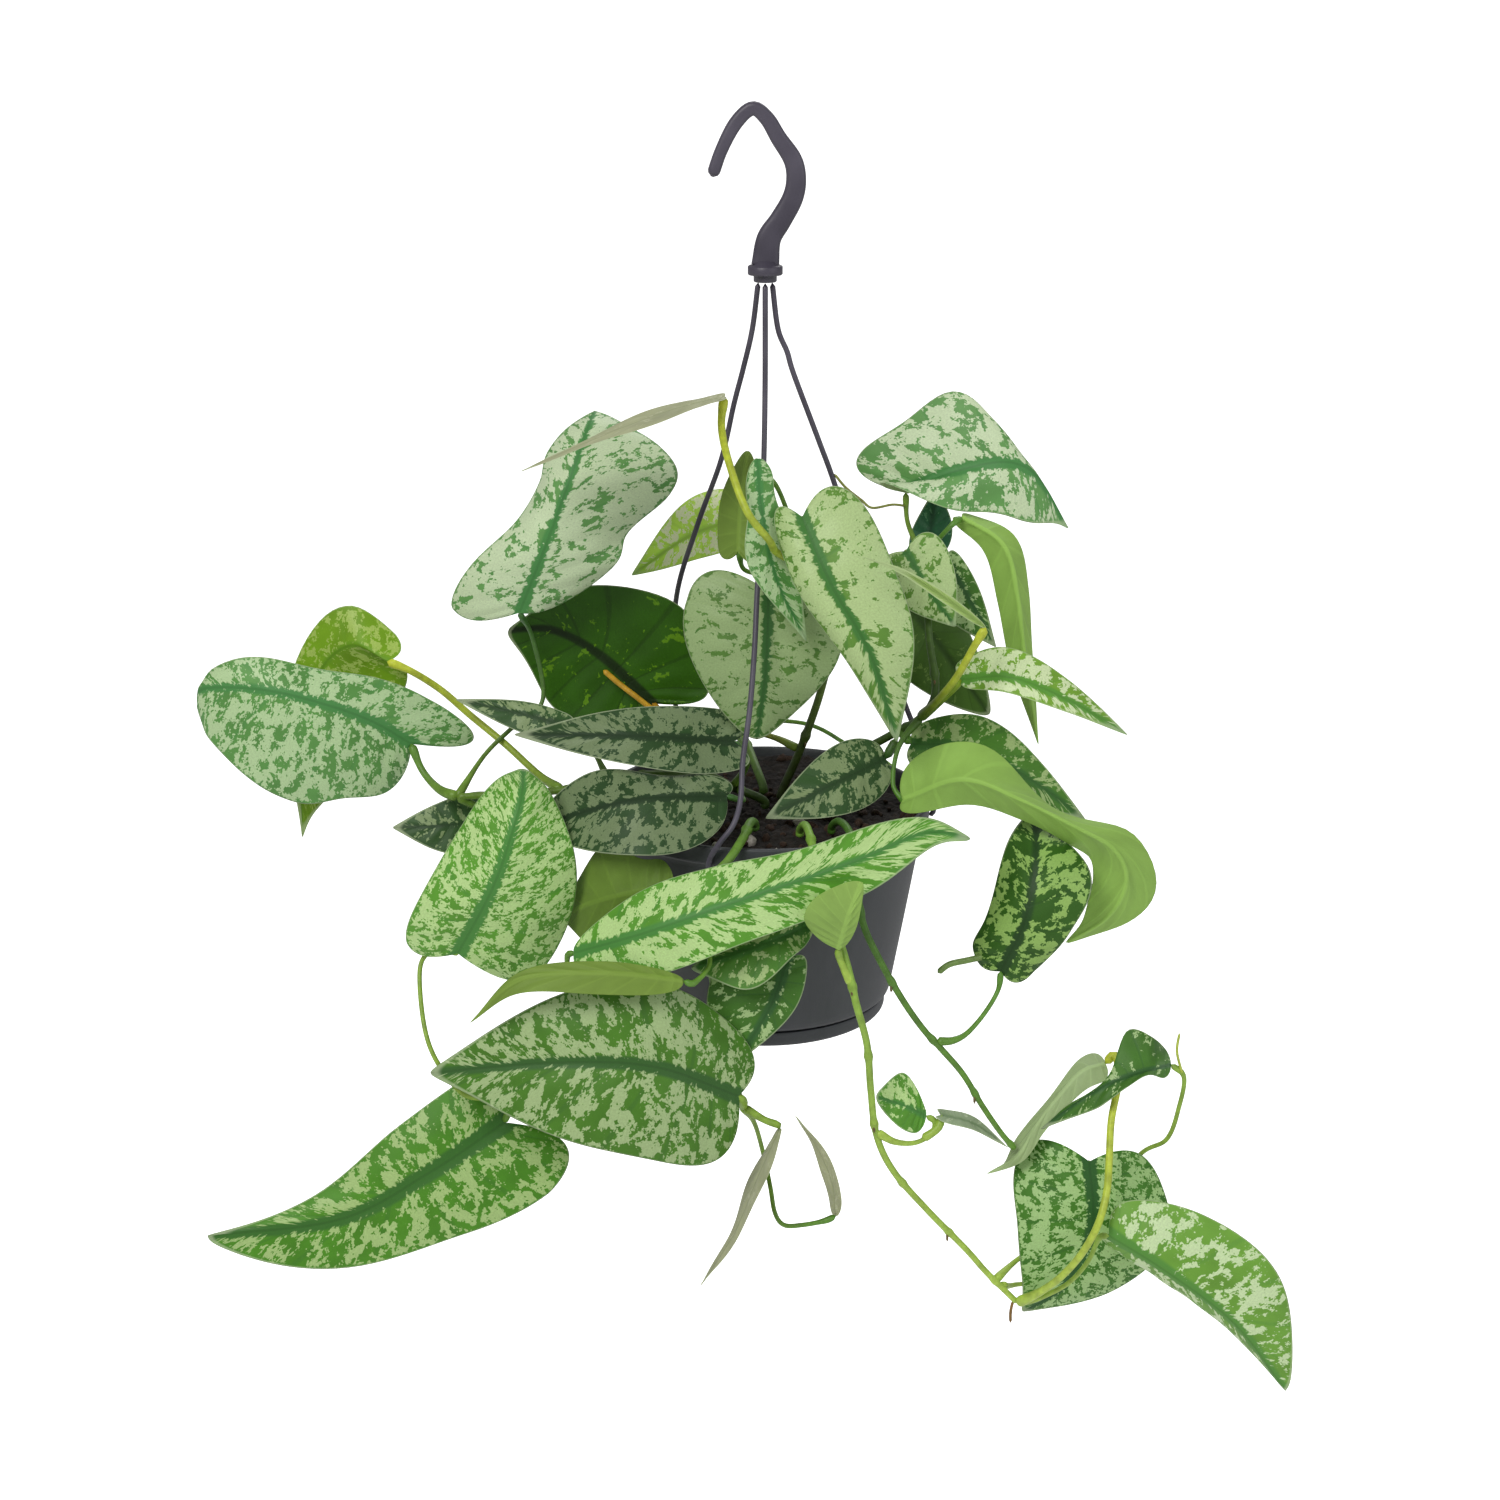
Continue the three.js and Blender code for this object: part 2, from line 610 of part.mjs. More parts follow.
const vector = ([x, y, z]) => new THREE.Vector3(x, y, z);

// ---------------------------------------------------------------- solids

// Welds the corners of a closed geometry and makes it a solid that can be joined with others
function solid(geometry) {
  const bare = geometry.clone();
  bare.deleteAttribute('normal');
  bare.deleteAttribute('uv');
  const welded = BufferGeometryUtils.mergeVertices(bare, 1e-4);
  return new wasm.Manifold(
    new wasm.Mesh({
      numProp: 3,
      vertProperties: new Float32Array(welded.attributes.position.array),
      triVerts: new Uint32Array(welded.index.array),
    }),
  );
}

function geometryOf(manifold) {
  const { vertProperties, triVerts } = manifold.getMesh();
  const geometry = new THREE.BufferGeometry();
  geometry.setAttribute('position', new THREE.BufferAttribute(vertProperties, 3));
  geometry.setIndex(new THREE.BufferAttribute(triVerts, 1));
  return geometry;
}

// Round bar along a smooth curve through the points
function bar(points, radius, sides, spacing) {
  const path = new THREE.CatmullRomCurve3(points.map(vector), false, 'catmullrom', 0.5);
  const section = new THREE.Shape();
  for (let k = 0; k < sides; k += 1) {
    const angle = (2 * Math.PI * k) / sides;
    const place = [radius * Math.cos(angle), radius * Math.sin(angle)];
    if (k === 0) section.moveTo(...place);
    else section.lineTo(...place);
  }
  section.closePath();
  const steps = Math.max(2, Math.round(path.getLength() / spacing));
  return new THREE.ExtrudeGeometry(section, { steps, bevelEnabled: false, extrudePath: path });
}

// Profile of radius and height turned round the pot's upright axis
function turned(profile, segments) {
  const geometry = new THREE.LatheGeometry(profile.map(([r, z]) => new THREE.Vector2(r, z)), segments);
  geometry.rotateX(Math.PI / 2);
  geometry.translate(AXIS_X, 0, 0);
  return geometry;
}

// ---------------------------------------------------------------- pot, saucer and soil

const POT_SEGMENTS = 48;
const RIM_STEP = 2; // the wall stands this much inside the rim
const FOOT_ROUND = 2.5; // rounding of the pot's bottom edge
const wallTop = RIM_RADIUS - RIM_STEP;
const rimFoot = RIM_Z - RIM_DEPTH;

addPiece(
  'pot',
  turned(
    [
      [0, BASE_Z],
      [BASE_RADIUS - FOOT_ROUND, BASE_Z],
      [BASE_RADIUS, BASE_Z + FOOT_ROUND],
      [wallTop, rimFoot],
      [RIM_RADIUS, rimFoot],
      [RIM_RADIUS, RIM_Z - 0.8],
      [RIM_RADIUS - 0.8, RIM_Z],
      [RIM_RADIUS - RIM_STEP, RIM_Z],
      [wallTop - WALL, rimFoot],
      [BASE_RADIUS - WALL, BASE_Z + FOOT_ROUND],
      [BASE_RADIUS - WALL - 1, BASE_Z + WALL],
      [0, BASE_Z + WALL],
    ],
    POT_SEGMENTS,
  ),
  POT_PLASTIC,
);

addPiece(
  'drip_saucer',
  turned(
    [
      [0, SAUCER_Z],
      [SAUCER_RADIUS - 1, SAUCER_Z],
      [SAUCER_RADIUS, SAUCER_Z + 1],
      [SAUCER_RADIUS, BASE_Z - GAP],
      [SAUCER_RADIUS - WALL, BASE_Z - GAP],
      [SAUCER_RADIUS - WALL, SAUCER_Z + WALL],
      [0, SAUCER_Z + WALL],
    ],
    POT_SEGMENTS,
  ),
  POT_PLASTIC,
);

const soilTopRadius = wallTop - WALL - GAP;
const soilFootRadius = BASE_RADIUS - WALL - 1 - GAP;
addPiece(
  'soil',
  turned(
    [
      [0, BASE_Z + WALL + GAP],
      [soilFootRadius - 1, BASE_Z + WALL + GAP],
      [soilFootRadius, BASE_Z + FOOT_ROUND + 1],
      [soilTopRadius - 0.4, rimFoot - 1],
      [soilTopRadius - 1.5, SOIL_Z],
      [0, SOIL_Z],
    ],
    POT_SEGMENTS,
  ),
  POTTING_SOIL,
);

// ---------------------------------------------------------------- hook and straps

// Flat moulded hook: its outline runs along both sides of the centreline
function hookPlate() {
  const line = new THREE.CatmullRomCurve3(HOOK_LINE.map(([x, z]) => new THREE.Vector3(x, z, 0)));
  const widths = new THREE.CatmullRomCurve3(HOOK_LINE.map(([, , w], k) => new THREE.Vector3(k, w, 0)));
  const sides = [[], []];
  for (let k = 0; k <= HOOK_STEPS; k += 1) {
    const centre = line.getPoint(k / HOOK_STEPS);
    const along = line.getTangent(k / HOOK_STEPS);
    const half = widths.getPoint(k / HOOK_STEPS).y / 2 - HOOK_EDGE;
    sides[0].push(new THREE.Vector2(centre.x - along.y * half, centre.y + along.x * half));
    sides[1].unshift(new THREE.Vector2(centre.x + along.y * half, centre.y - along.x * half));
  }
  const geometry = new THREE.ExtrudeGeometry(new THREE.Shape([...sides[0], ...sides[1]]), {
    depth: HOOK_THICKNESS - 2 * HOOK_EDGE,
    bevelThickness: HOOK_EDGE,
    bevelSize: HOOK_EDGE,
    bevelSegments: 2,
  });
  geometry.translate(0, 0, HOOK_EDGE - HOOK_THICKNESS / 2);
  geometry.rotateX(Math.PI / 2);
  return geometry;
}

const collarFoot = COLLAR_Z - COLLAR_HEIGHT;
const collar = turned(
  [
    [0, collarFoot - STUB_HEIGHT],
    [STUB_RADIUS, collarFoot - STUB_HEIGHT],
    [STUB_RADIUS, collarFoot],
    [COLLAR_RADIUS, collarFoot],
    [COLLAR_RADIUS, COLLAR_Z],
    [0, COLLAR_Z],
  ],
  COLLAR_SIDES,
);
addPiece('hanger_hook', geometryOf(solid(hookPlate()).add(solid(collar))), HANGER_PLASTIC);

for (const [name, points] of Object.entries(STRAPS)) {
  addPiece(name, bar(points, STRAP_RADIUS, STRAP_SIDES, STRAP_SPACING), HANGER_PLASTIC);
}

// ---------------------------------------------------------------- leaf blades

// Margin of a flat blade from base (t = 0) to tip (t = 1): how far along the midrib, in blade lengths,
// and how far out, in half-widths
function margin(t, lobe, taper) {
  const turn = Math.PI * t;
  const along = (1 - Math.cos(turn)) / 2 - (lobe * Math.sin(turn) * (1 + Math.cos(turn))) / 2;
  const ovate = (Math.sin(turn) * (1 + 0.2 * Math.cos(turn))) / 1.02;
  return { along, out: ovate * (1 - taper * Math.max(0, along) ** 3) };
}

// Half-width vector at a place along the midrib, from a list spread evenly from base to tip
function halfWidth(list, place) {
  const scaled = THREE.MathUtils.clamp(place, 0, 1) * (list.length - 1);
  const k = Math.min(Math.floor(scaled), list.length - 2);
  if (list.length === 1) return vector(list[0]);
  return vector(list[k]).lerp(vector(list[k + 1]), scaled - k);
}

// Thin closed blade: two faces that meet at the margin. Its rows follow the side veins, which leave
// the midrib and sweep forward to the margin, or back round the lobes at the base.
function blade({ midrib, left, right, lobes = [LOBE, LOBE], cup = 0, taper = TAPER }) {
  const curve = new THREE.CatmullRomCurve3(midrib.map(vector), false, 'catmullrom', 0.5);
  const length = curve.getLength();
  const sides = [
    { widths: left, lobe: lobes[0], sign: -1 },
    { widths: right, lobe: lobes[1], sign: 1 },
  ];

  const onBlade = (side, row, column) => {
    const t = row / BLADE_ROWS;
    const s = column / BLADE_COLUMNS;
    const edge = margin(t, side.lobe, taper);
    const place = THREE.MathUtils.lerp(t ** 1.8, edge.along, s);
    const inside = THREE.MathUtils.clamp(place, 0, 1);
    const along = curve.getTangentAt(inside);
    const half = halfWidth(side.widths, place);
    const up = new THREE.Vector3().crossVectors(along, half).multiplyScalar(-side.sign).normalize();
    const point = curve.getPointAt(inside);
    point.addScaledVector(along, (place - inside) * length);
    point.addScaledVector(half, edge.out * s);
    point.addScaledVector(up, cup * Math.sin(Math.PI * s) * edge.out);
    return { point, up };
  };

  const corners = [];
  const numbers = new Map();
  const corner = (face, row, offset) => {
    const onEdge = Math.abs(offset) === BLADE_COLUMNS;
    const atEnd = row === 0 || row === BLADE_ROWS;
    const key = atEnd ? `end${row}` : `${onEdge ? 0 : face},${row},${offset}`;
    if (!numbers.has(key)) {
      const side = sides[offset > 0 ? 1 : 0];
      const { point, up } = onBlade(side, row, atEnd ? 0 : Math.abs(offset));
      if (offset === 0 && !atEnd) up.add(onBlade(sides[1], row, 0).up).normalize();
      const rise = atEnd || onEdge ? 0 : (face * BLADE_THICKNESS) / 2;
      numbers.set(key, corners.length / 3);
      corners.push(...point.addScaledVector(up, rise).toArray());
    }
    return numbers.get(key);
  };

  const faces = [];
  const addTriangle = (a, b, c) => {
    if (a !== b && b !== c && c !== a) faces.push(a, b, c);
  };
  for (const face of [1, -1]) {
    for (let row = 0; row < BLADE_ROWS; row += 1) {
      for (let offset = -BLADE_COLUMNS; offset < BLADE_COLUMNS; offset += 1) {
        const quad = [
          corner(face, row, offset),
          corner(face, row, offset + 1),
          corner(face, row + 1, offset + 1),
          corner(face, row + 1, offset),
        ];
        // Both faces are split along the same diagonal, so that they can't cross
        addTriangle(quad[0], quad[face > 0 ? 1 : 2], quad[face > 0 ? 2 : 1]);
        addTriangle(quad[0], quad[face > 0 ? 2 : 3], quad[face > 0 ? 3 : 2]);
      }
    }
  }
  const geometry = new THREE.BufferGeometry();
  geometry.setAttribute('position', new THREE.BufferAttribute(new Float32Array(corners), 3));
  geometry.setIndex(faces);
  return geometry;
}

for (const [name, leaf] of Object.entries(LEAVES)) {
  addPiece(name, blade(leaf), LEAF_GREEN);
}

// ---------------------------------------------------------------- stems and petioles

// Petiole of a leaf, from just short of the blade's base
function petioleBar({ midrib, petiole }) {
  const base = vector(midrib[0]);
  const start = base.clone().add(vector(petiole[0]).sub(base).setLength(PETIOLE_GAP));
  return bar([start.toArray(), ...petiole], PETIOLE_RADIUS, PETIOLE_SIDES, STEM_SPACING);
}

for (const [name, { radius, limbs }] of Object.entries(STEMS)) {
  const bars = limbs.map((points) => bar(points, radius, STEM_SIDES, STEM_SPACING));
  for (const leaf of Object.values(LEAVES)) {
    if (leaf.stem === name) bars.push(petioleBar(leaf));
  }
  const grown = bars.map(solid).reduce((whole, piece) => whole.add(piece));
  addPiece(name, geometryOf(grown), STEM_GREEN);
}

export default part;
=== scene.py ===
import math

import bpy
import numpy as np
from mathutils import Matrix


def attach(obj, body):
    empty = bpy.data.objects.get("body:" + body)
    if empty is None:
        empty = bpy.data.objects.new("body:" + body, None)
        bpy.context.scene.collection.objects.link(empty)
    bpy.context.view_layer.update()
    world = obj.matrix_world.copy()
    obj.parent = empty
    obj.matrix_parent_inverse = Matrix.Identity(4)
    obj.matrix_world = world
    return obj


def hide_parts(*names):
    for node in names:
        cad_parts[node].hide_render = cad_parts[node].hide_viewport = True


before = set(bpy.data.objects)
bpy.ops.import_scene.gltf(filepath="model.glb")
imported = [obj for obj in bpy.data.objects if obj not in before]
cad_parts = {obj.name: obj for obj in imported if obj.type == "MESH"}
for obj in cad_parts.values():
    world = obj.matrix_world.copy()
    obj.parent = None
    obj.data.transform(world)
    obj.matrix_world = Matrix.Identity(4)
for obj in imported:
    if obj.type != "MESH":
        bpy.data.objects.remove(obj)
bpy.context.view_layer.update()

# ---------------------------------------------------------------- camera, floor and lights
# The pot hangs in the air over a plain pale floor, in the soft light of a small studio. The camera
# stands a little above the pot and looks down at it. The one length unit of the tables below is the
# millimetre, and every mesh is in metres.

MM = 0.001
CAMERA_PLACE = (-2 * MM, -1100 * MM, 66 * MM)
CAMERA_PITCH = math.radians(17.4)
CAMERA_LENS = 61.2
FLOOR_HEIGHT = -1.3
FLOOR_RADIUS, FLOOR_SIDES = 60, 64
PALE = (0.93, 0.93, 0.92, 1)
FLOOR_GLOW = (0.15, 1.1)  # as the plant sees it, and as the camera does
SKY_GLOW = (0.32, 1.1)


def node(tree, kind, **settings):
    """Adds a shader node and sets its sockets and properties by name; an output given to one is linked."""
    made = tree.nodes.new("ShaderNode" + kind)
    for name, value in settings.items():
        socket = made.inputs.get(name.replace("_", " "))
        if socket is None:
            setattr(made, name, value)
        elif isinstance(value, bpy.types.NodeSocket):
            tree.links.new(value, socket)
        else:
            socket.default_value = value
    return made


def new_material(name):
    """A material with an empty Principled surface; returns the material, its node tree and the surface."""
    material = bpy.data.materials.new(name)
    material.use_nodes = True
    tree = material.node_tree
    return material, tree, tree.nodes["Principled BSDF"]


def mesh_piece(name, points, faces, materials, face_material=None, uv=None):
    """Object with the given points (n, 3) in metres and triangles or quads (m, k), smooth, in place."""
    points = np.asarray(points, np.float32)
    faces = np.asarray(faces, np.int32)
    mesh = bpy.data.meshes.new(name)
    mesh.vertices.add(len(points))
    mesh.vertices.foreach_set("co", points.ravel())
    mesh.loops.add(faces.size)
    mesh.loops.foreach_set("vertex_index", faces.ravel())
    mesh.polygons.add(len(faces))
    mesh.polygons.foreach_set("loop_start", np.arange(len(faces), dtype=np.int32) * faces.shape[1])
    mesh.polygons.foreach_set("use_smooth", np.ones(len(faces), bool))
    if face_material is not None:
        mesh.polygons.foreach_set("material_index", np.asarray(face_material, np.int32))
    if uv is not None:
        layer = mesh.uv_layers.new(name="surface")
        layer.data.foreach_set("uv", np.asarray(uv, np.float32)[faces.ravel()].ravel())
    for material in materials:
        mesh.materials.append(material)
    mesh.update(calc_edges=True)
    piece = bpy.data.objects.new(name, mesh)
    bpy.context.scene.collection.objects.link(piece)
    return piece


camera_data = bpy.data.cameras.new("camera")
camera_data.lens = CAMERA_LENS
camera_data.sensor_width = 36
camera = bpy.data.objects.new("camera", camera_data)
camera.location = CAMERA_PLACE
camera.rotation_euler = (math.pi / 2 - CAMERA_PITCH, 0, 0)
bpy.context.scene.collection.objects.link(camera)
bpy.context.scene.camera = camera

floor_turn = np.linspace(0, 2 * np.pi, FLOOR_SIDES, endpoint=False)
floor_ring = np.stack([np.cos(floor_turn), np.sin(floor_turn)], 1) * FLOOR_RADIUS
floor_points = np.column_stack([floor_ring, np.full(FLOOR_SIDES, FLOOR_HEIGHT)])
floor_paint, floor_tree, floor_surface = new_material("pale_floor")
floor_surface.inputs["Base Color"].default_value = PALE
floor_surface.inputs["Roughness"].default_value = 0.9
# The floor is lit so that it looks white without throwing much light back up at the plant
seen = node(floor_tree, "LightPath").outputs["Is Camera Ray"]
glow = node(floor_tree, "MapRange", Value=seen, To_Min=FLOOR_GLOW[0], To_Max=FLOOR_GLOW[1])
floor_surface.inputs["Emission Color"].default_value = (1, 1, 1, 1)
floor_tree.links.new(glow.outputs["Result"], floor_surface.inputs["Emission Strength"])
floor = mesh_piece("studio_floor", floor_points, [np.arange(FLOOR_SIDES)], [floor_paint])

world = bpy.data.worlds.new("studio")
world.use_nodes = True
sky = world.node_tree.nodes["Background"]
sky.inputs["Color"].default_value = (1, 1, 1, 1)
seen = node(world.node_tree, "LightPath").outputs["Is Camera Ray"]
glow = node(world.node_tree, "MapRange", Value=seen, To_Min=SKY_GLOW[0], To_Max=SKY_GLOW[1])
world.node_tree.links.new(glow.outputs["Result"], sky.inputs["Strength"])
bpy.context.scene.world = world
bpy.context.scene.view_settings.view_transform = "Standard"  # shows leaf greens as they are


def soft_light(name, place, aim, size, watts, colour):
    """Square area light at a place, turned so that it shines at its aim."""
    data = bpy.data.lights.new(name, "AREA")
    data.size = size
    data.energy = watts
    data.color = colour
    lamp = bpy.data.objects.new(name, data)
    away = np.array(place, float) - np.array(aim, float)
    flat = math.hypot(away[0], away[1])
    lamp.location = place
    lamp.rotation_euler = (math.atan2(flat, away[2]), 0, math.atan2(away[0], -away[1]))
    bpy.context.scene.collection.objects.link(lamp)


soft_light("key", (-0.9, -1.6, 1.3), (0, 0, -0.3), 1.0, 30, (1, 0.99, 0.96))
soft_light("fill", (1.6, -1.2, 0.4), (0, 0, -0.3), 1.4, 8, (0.96, 0.98, 1))
soft_light("rim", (0.4, 1.6, 1.2), (0, 0, -0.3), 1.4, 12, (1, 1, 1))

# ---------------------------------------------------------------- hook, collar and straps
# One polypropylene hanger: a flat moulded hook with rounded edges ends in a round collar, and three
# thin straps run from the stub under the collar down to the pot, where their ends clip under the rim.

AXIS_X = 4.5  # pot and collar share this upright axis
HOOK_LINE = [
    (-18, -25, 5.5), (-14, -14, 5.5), (-8, -3, 6), (-1, 3, 6), (5, -1, 6.5), (10, -9, 7), (16, -18, 8),
    (17.5, -26, 8.5), (16, -34, 9), (11, -43, 9.5), (6, -51, 10.5), (4.5, -62, 12),
]  # x, z and width along the hook, from its free tip to the collar
HOOK_THICKNESS = 6
HOOK_LENGTH = 110
HOOK_POINTS, HOOK_ROWS, HOOK_SECTION = 300, 90, 28
HOOK_SQUARENESS = 0.62  # 1 is an ellipse, 0 a rectangle
TIP_ROUNDING = 3  # length over which the hook's free tip closes
COLLAR_SEGMENTS = 48
COLLAR_PROFILE = [
    (0, -69), (4.6, -69), (5, -68.6), (5, -66.4), (6.2, -66), (7.1, -66), (7.5, -65.6), (7.5, -62.5),
    (7, -62), (5.4, -61.8), (4.8, -60.5), (0, -60),
]
STRAPS = {
    "strap_left": [
        (1.5, 1, -69.6), (-1, 6, -90), (-5, 11, -108), (-9, 16, -124), (-15, 24, -151), (-26, 34, -183),
        (-36, 46, -219), (-38, 58, -262), (-36, 67, -290), (-35.3, 66.6, -302), (-35, 66.4, -308),
        (-34.6, 65.6, -310.2), (-33.8, 64.3, -310.4),
    ],
    "strap_front": [
        (4.5, -1.5, -69.6), (4.5, -8, -110), (4, -14, -142), (3, -22, -168), (1, -34, -199), (0, -43, -219),
        (-2, -53, -243), (-5, -61, -264), (-6, -69, -279), (-9, -76, -288), (-15, -77.5, -296),
        (-19, -73.6, -304), (-19.7, -73.4, -308.4), (-19.5, -72.4, -310.2), (-19.1, -70.8, -310.4),
    ],
    "strap_right": [
        (7.5, 1, -69.6), (10, 1, -89), (14, 1, -99), (17, 2, -109), (28, 3, -138), (36, 4, -160),
        (52, 8, -211), (66, 12, -254), (78, 9, -284), (82, 5, -294), (82, 3, -303),
        (81.8, 2.4, -308.4), (80.8, 2.4, -310.2), (79.3, 2.4, -310.4),
    ],
}
STRAP_RADIUS = 1.2
STRAP_SIDES, STRAP_STEP = 12, 1.5
KNOT_STEPS, CURVE_POINTS = 40, 400  # points for each given point of a curve, and evenly spaced on all of it


def smooth_line(points, count):
    """Catmull-Rom curve: a cubic whose slope at each point is half the chord between its two neighbours."""
    knots = np.asarray(points, float)
    knots = np.vstack([2 * knots[0] - knots[1], knots, 2 * knots[-1] - knots[-2]])
    u = np.linspace(0, len(points) - 1, count)
    k = np.minimum(u.astype(int), len(points) - 2)
    f = (u - k)[:, None]
    a, b, c, d = knots[k], knots[k + 1], knots[k + 2], knots[k + 3]
    return (2 * b + (c - a) * f + (2 * a - 5 * b + 4 * c - d) * f**2 + (3 * b - a - 3 * c + d) * f**3) / 2


def by_length(line, count):
    """The line's points again, spaced evenly by length."""
    reach = np.concatenate([[0], np.cumsum(np.linalg.norm(np.diff(line, axis=0), axis=1))])
    even = np.linspace(0, reach[-1], count)
    return np.stack([np.interp(even, reach, line[:, k]) for k in range(line.shape[1])], 1), reach[-1]


def unit(vectors):
    """Vectors divided by their lengths."""
    return vectors / np.maximum(np.linalg.norm(vectors, axis=-1, keepdims=True), 1e-9)


def carried_frame(line):
    """Two directions across the line at each point.

    The first is carried from point to point and loses only its part along the tangent; the second is
    square to both.
    """
    tangent = unit(np.gradient(line, axis=0))
    side = np.zeros_like(line)
    start = np.eye(3)[np.argmin(np.abs(tangent[0]))]
    for k, along in enumerate(tangent):
        start = start - along * (start @ along)
        start = start / np.linalg.norm(start)
        side[k] = start
    return side, np.cross(tangent, side)


def skin(rings):
    """Triangles over rings (rows, columns) of points, with a fan to close each end."""
    rows, columns = rings.shape[:2]
    index = np.arange(rows * columns).reshape(rows, columns)
    nearer = np.roll(index, -1, axis=1)
    a, b, c, d = index[:-1], nearer[:-1], nearer[1:], index[1:]
    walls = np.concatenate([np.stack([a, b, c], -1).reshape(-1, 3), np.stack([a, c, d], -1).reshape(-1, 3)])
    first, last = rows * columns, rows * columns + 1
    low = np.stack([np.full(columns, first), nearer[0], index[0]], -1)
    high = np.stack([np.full(columns, last), index[-1], nearer[-1]], -1)
    points = np.vstack([rings.reshape(-1, 3), rings[0].mean(0), rings[-1].mean(0)])
    return points, np.concatenate([walls, low, high])


def tube(points, radius, sides, step):
    """Round tube on the curve through the points.

    Each ring is the place on the curve plus radius(u) (cos a, sin a) along the two directions across it,
    and the ends shrink as quarter circles, to a sixth of the radius, before a fan closes them.
    """
    line, length = by_length(smooth_line(points, KNOT_STEPS * len(points)), CURVE_POINTS)
    count = max(6, int(length / step))
    line, length = by_length(line, count)
    u = np.linspace(0, 1, count)
    size = radius(u, length) if callable(radius) else np.full(count, float(radius))
    near_end = np.minimum(u, 1 - u) * length / np.maximum(size, 1e-6)
    size = size * np.sqrt(np.clip(1 - (1 - np.clip(near_end, 0, 1)) ** 2, 0.03, 1))
    side, other = carried_frame(line)
    turn = np.linspace(0, 2 * np.pi, sides, endpoint=False)
    across = side[:, None] * np.cos(turn)[None, :, None] + other[:, None] * np.sin(turn)[None, :, None]
    rings = line[:, None] + across * size[:, None, None]
    return skin(rings)


def turned(profile, segments):
    """Profile of radius and height turned round the pot's upright axis, on which both its ends lie."""
    outline = np.asarray(profile, float)
    turn = np.linspace(0, 2 * np.pi, segments, endpoint=False)
    inner = outline[1:-1]
    x = AXIS_X + inner[:, None, 0] * np.cos(turn)
    y = inner[:, None, 0] * np.sin(turn)
    z = np.broadcast_to(inner[:, None, 1], x.shape)
    points, faces = skin(np.stack([x, y, z], -1))
    points[-2:, 2] = outline[[0, -1], 1]
    return points, faces


def joined(parts):
    """Several (points, faces) as one pair."""
    starts = np.cumsum([0] + [len(points) for points, _ in parts[:-1]])
    return np.vstack([p for p, _ in parts]), np.vstack([f + s for (_, f), s in zip(parts, starts)])


def two_tone(tree, surface, share, first, second, low=0.0, high=1.0):
    """Base colour: the first up to the low share, the second from the high share, and a blend between."""
    tint = node(tree, "ValToRGB", Fac=share)
    ends = tint.color_ramp.elements
    ends[0].color = (*first, 1)
    ends[1].color = (*second, 1)
    ends[0].position = low
    ends[1].position = high
    tree.links.new(tint.outputs["Color"], surface.inputs["Base Color"])


def relief(tree, surface, height, strength, depth):
    """Tilts the surface's normal as a relief of the given height, of 0 to 1, and depth in metres would."""
    bump = node(tree, "Bump", Height=height, Strength=strength, Distance=depth)
    tree.links.new(bump.outputs["Normal"], surface.inputs["Normal"])


hook_line, _ = by_length(smooth_line([(x, 0, z, w) for x, z, w in HOOK_LINE], HOOK_POINTS), HOOK_ROWS)
hook_tangent = unit(np.gradient(hook_line[:, :3], axis=0))
hook_across = np.stack([hook_tangent[:, 2], np.zeros(HOOK_ROWS), -hook_tangent[:, 0]], 1)
hook_turn = np.linspace(0, 2 * np.pi, HOOK_SECTION, endpoint=False)
# A superellipse section: each coordinate is the cosine or sine raised to the squareness, with its sign
wide = np.sign(np.cos(hook_turn)) * np.abs(np.cos(hook_turn)) ** HOOK_SQUARENESS
deep = np.sign(np.sin(hook_turn)) * np.abs(np.sin(hook_turn)) ** HOOK_SQUARENESS
# The free tip closes as a quarter ellipse
tip_reach = np.linspace(0, HOOK_LENGTH, HOOK_ROWS) / TIP_ROUNDING
tip_round = np.sqrt(np.clip(1 - (1 - np.clip(tip_reach, 0, 1)) ** 2, 0.04, 1))
half_width = hook_line[:, 3] / 2 * tip_round
rings = hook_line[:, None, :3] + hook_across[:, None] * (half_width[:, None] * wide)[..., None]
rings[..., 1] += -(tip_round[:, None] * deep) * HOOK_THICKNESS / 2

hanger_plastic, tree, surface = new_material("hanger_polypropylene")
place = node(tree, "TexCoord").outputs["Object"]
grain = node(tree, "TexNoise", Vector=place, Scale=900, Detail=3).outputs["Fac"]
cloud = node(tree, "TexNoise", Vector=place, Scale=45, Detail=2).outputs["Fac"]
two_tone(tree, surface, cloud, (0.048, 0.042, 0.062), (0.098, 0.088, 0.12), 0.3, 0.75)
relief(tree, surface, grain, 0.25, 0.0002)
wear = node(tree, "MapRange", Value=cloud, To_Min=0.38, To_Max=0.52)
tree.links.new(wear.outputs["Result"], surface.inputs["Roughness"])

points, faces = joined([skin(rings), turned(COLLAR_PROFILE, COLLAR_SEGMENTS)])
hook = mesh_piece("hook_and_collar", points * MM, faces, [hanger_plastic])
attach(hook, "root")
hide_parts("hanger_hook")

for name, route in STRAPS.items():
    points, faces = tube(route, STRAP_RADIUS, STRAP_SIDES, STRAP_STEP)
    strap = mesh_piece("hanger_" + name, points * MM, faces, [hanger_plastic])
    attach(strap, "root")
    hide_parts(name)

# ---------------------------------------------------------------- pot and drip saucer
# A thin injection-moulded nursery pot in slate-grey polypropylene with a thickened rim, tapering to a
# rounded foot, and a shallow drip saucer of the same plastic clipped on below it.

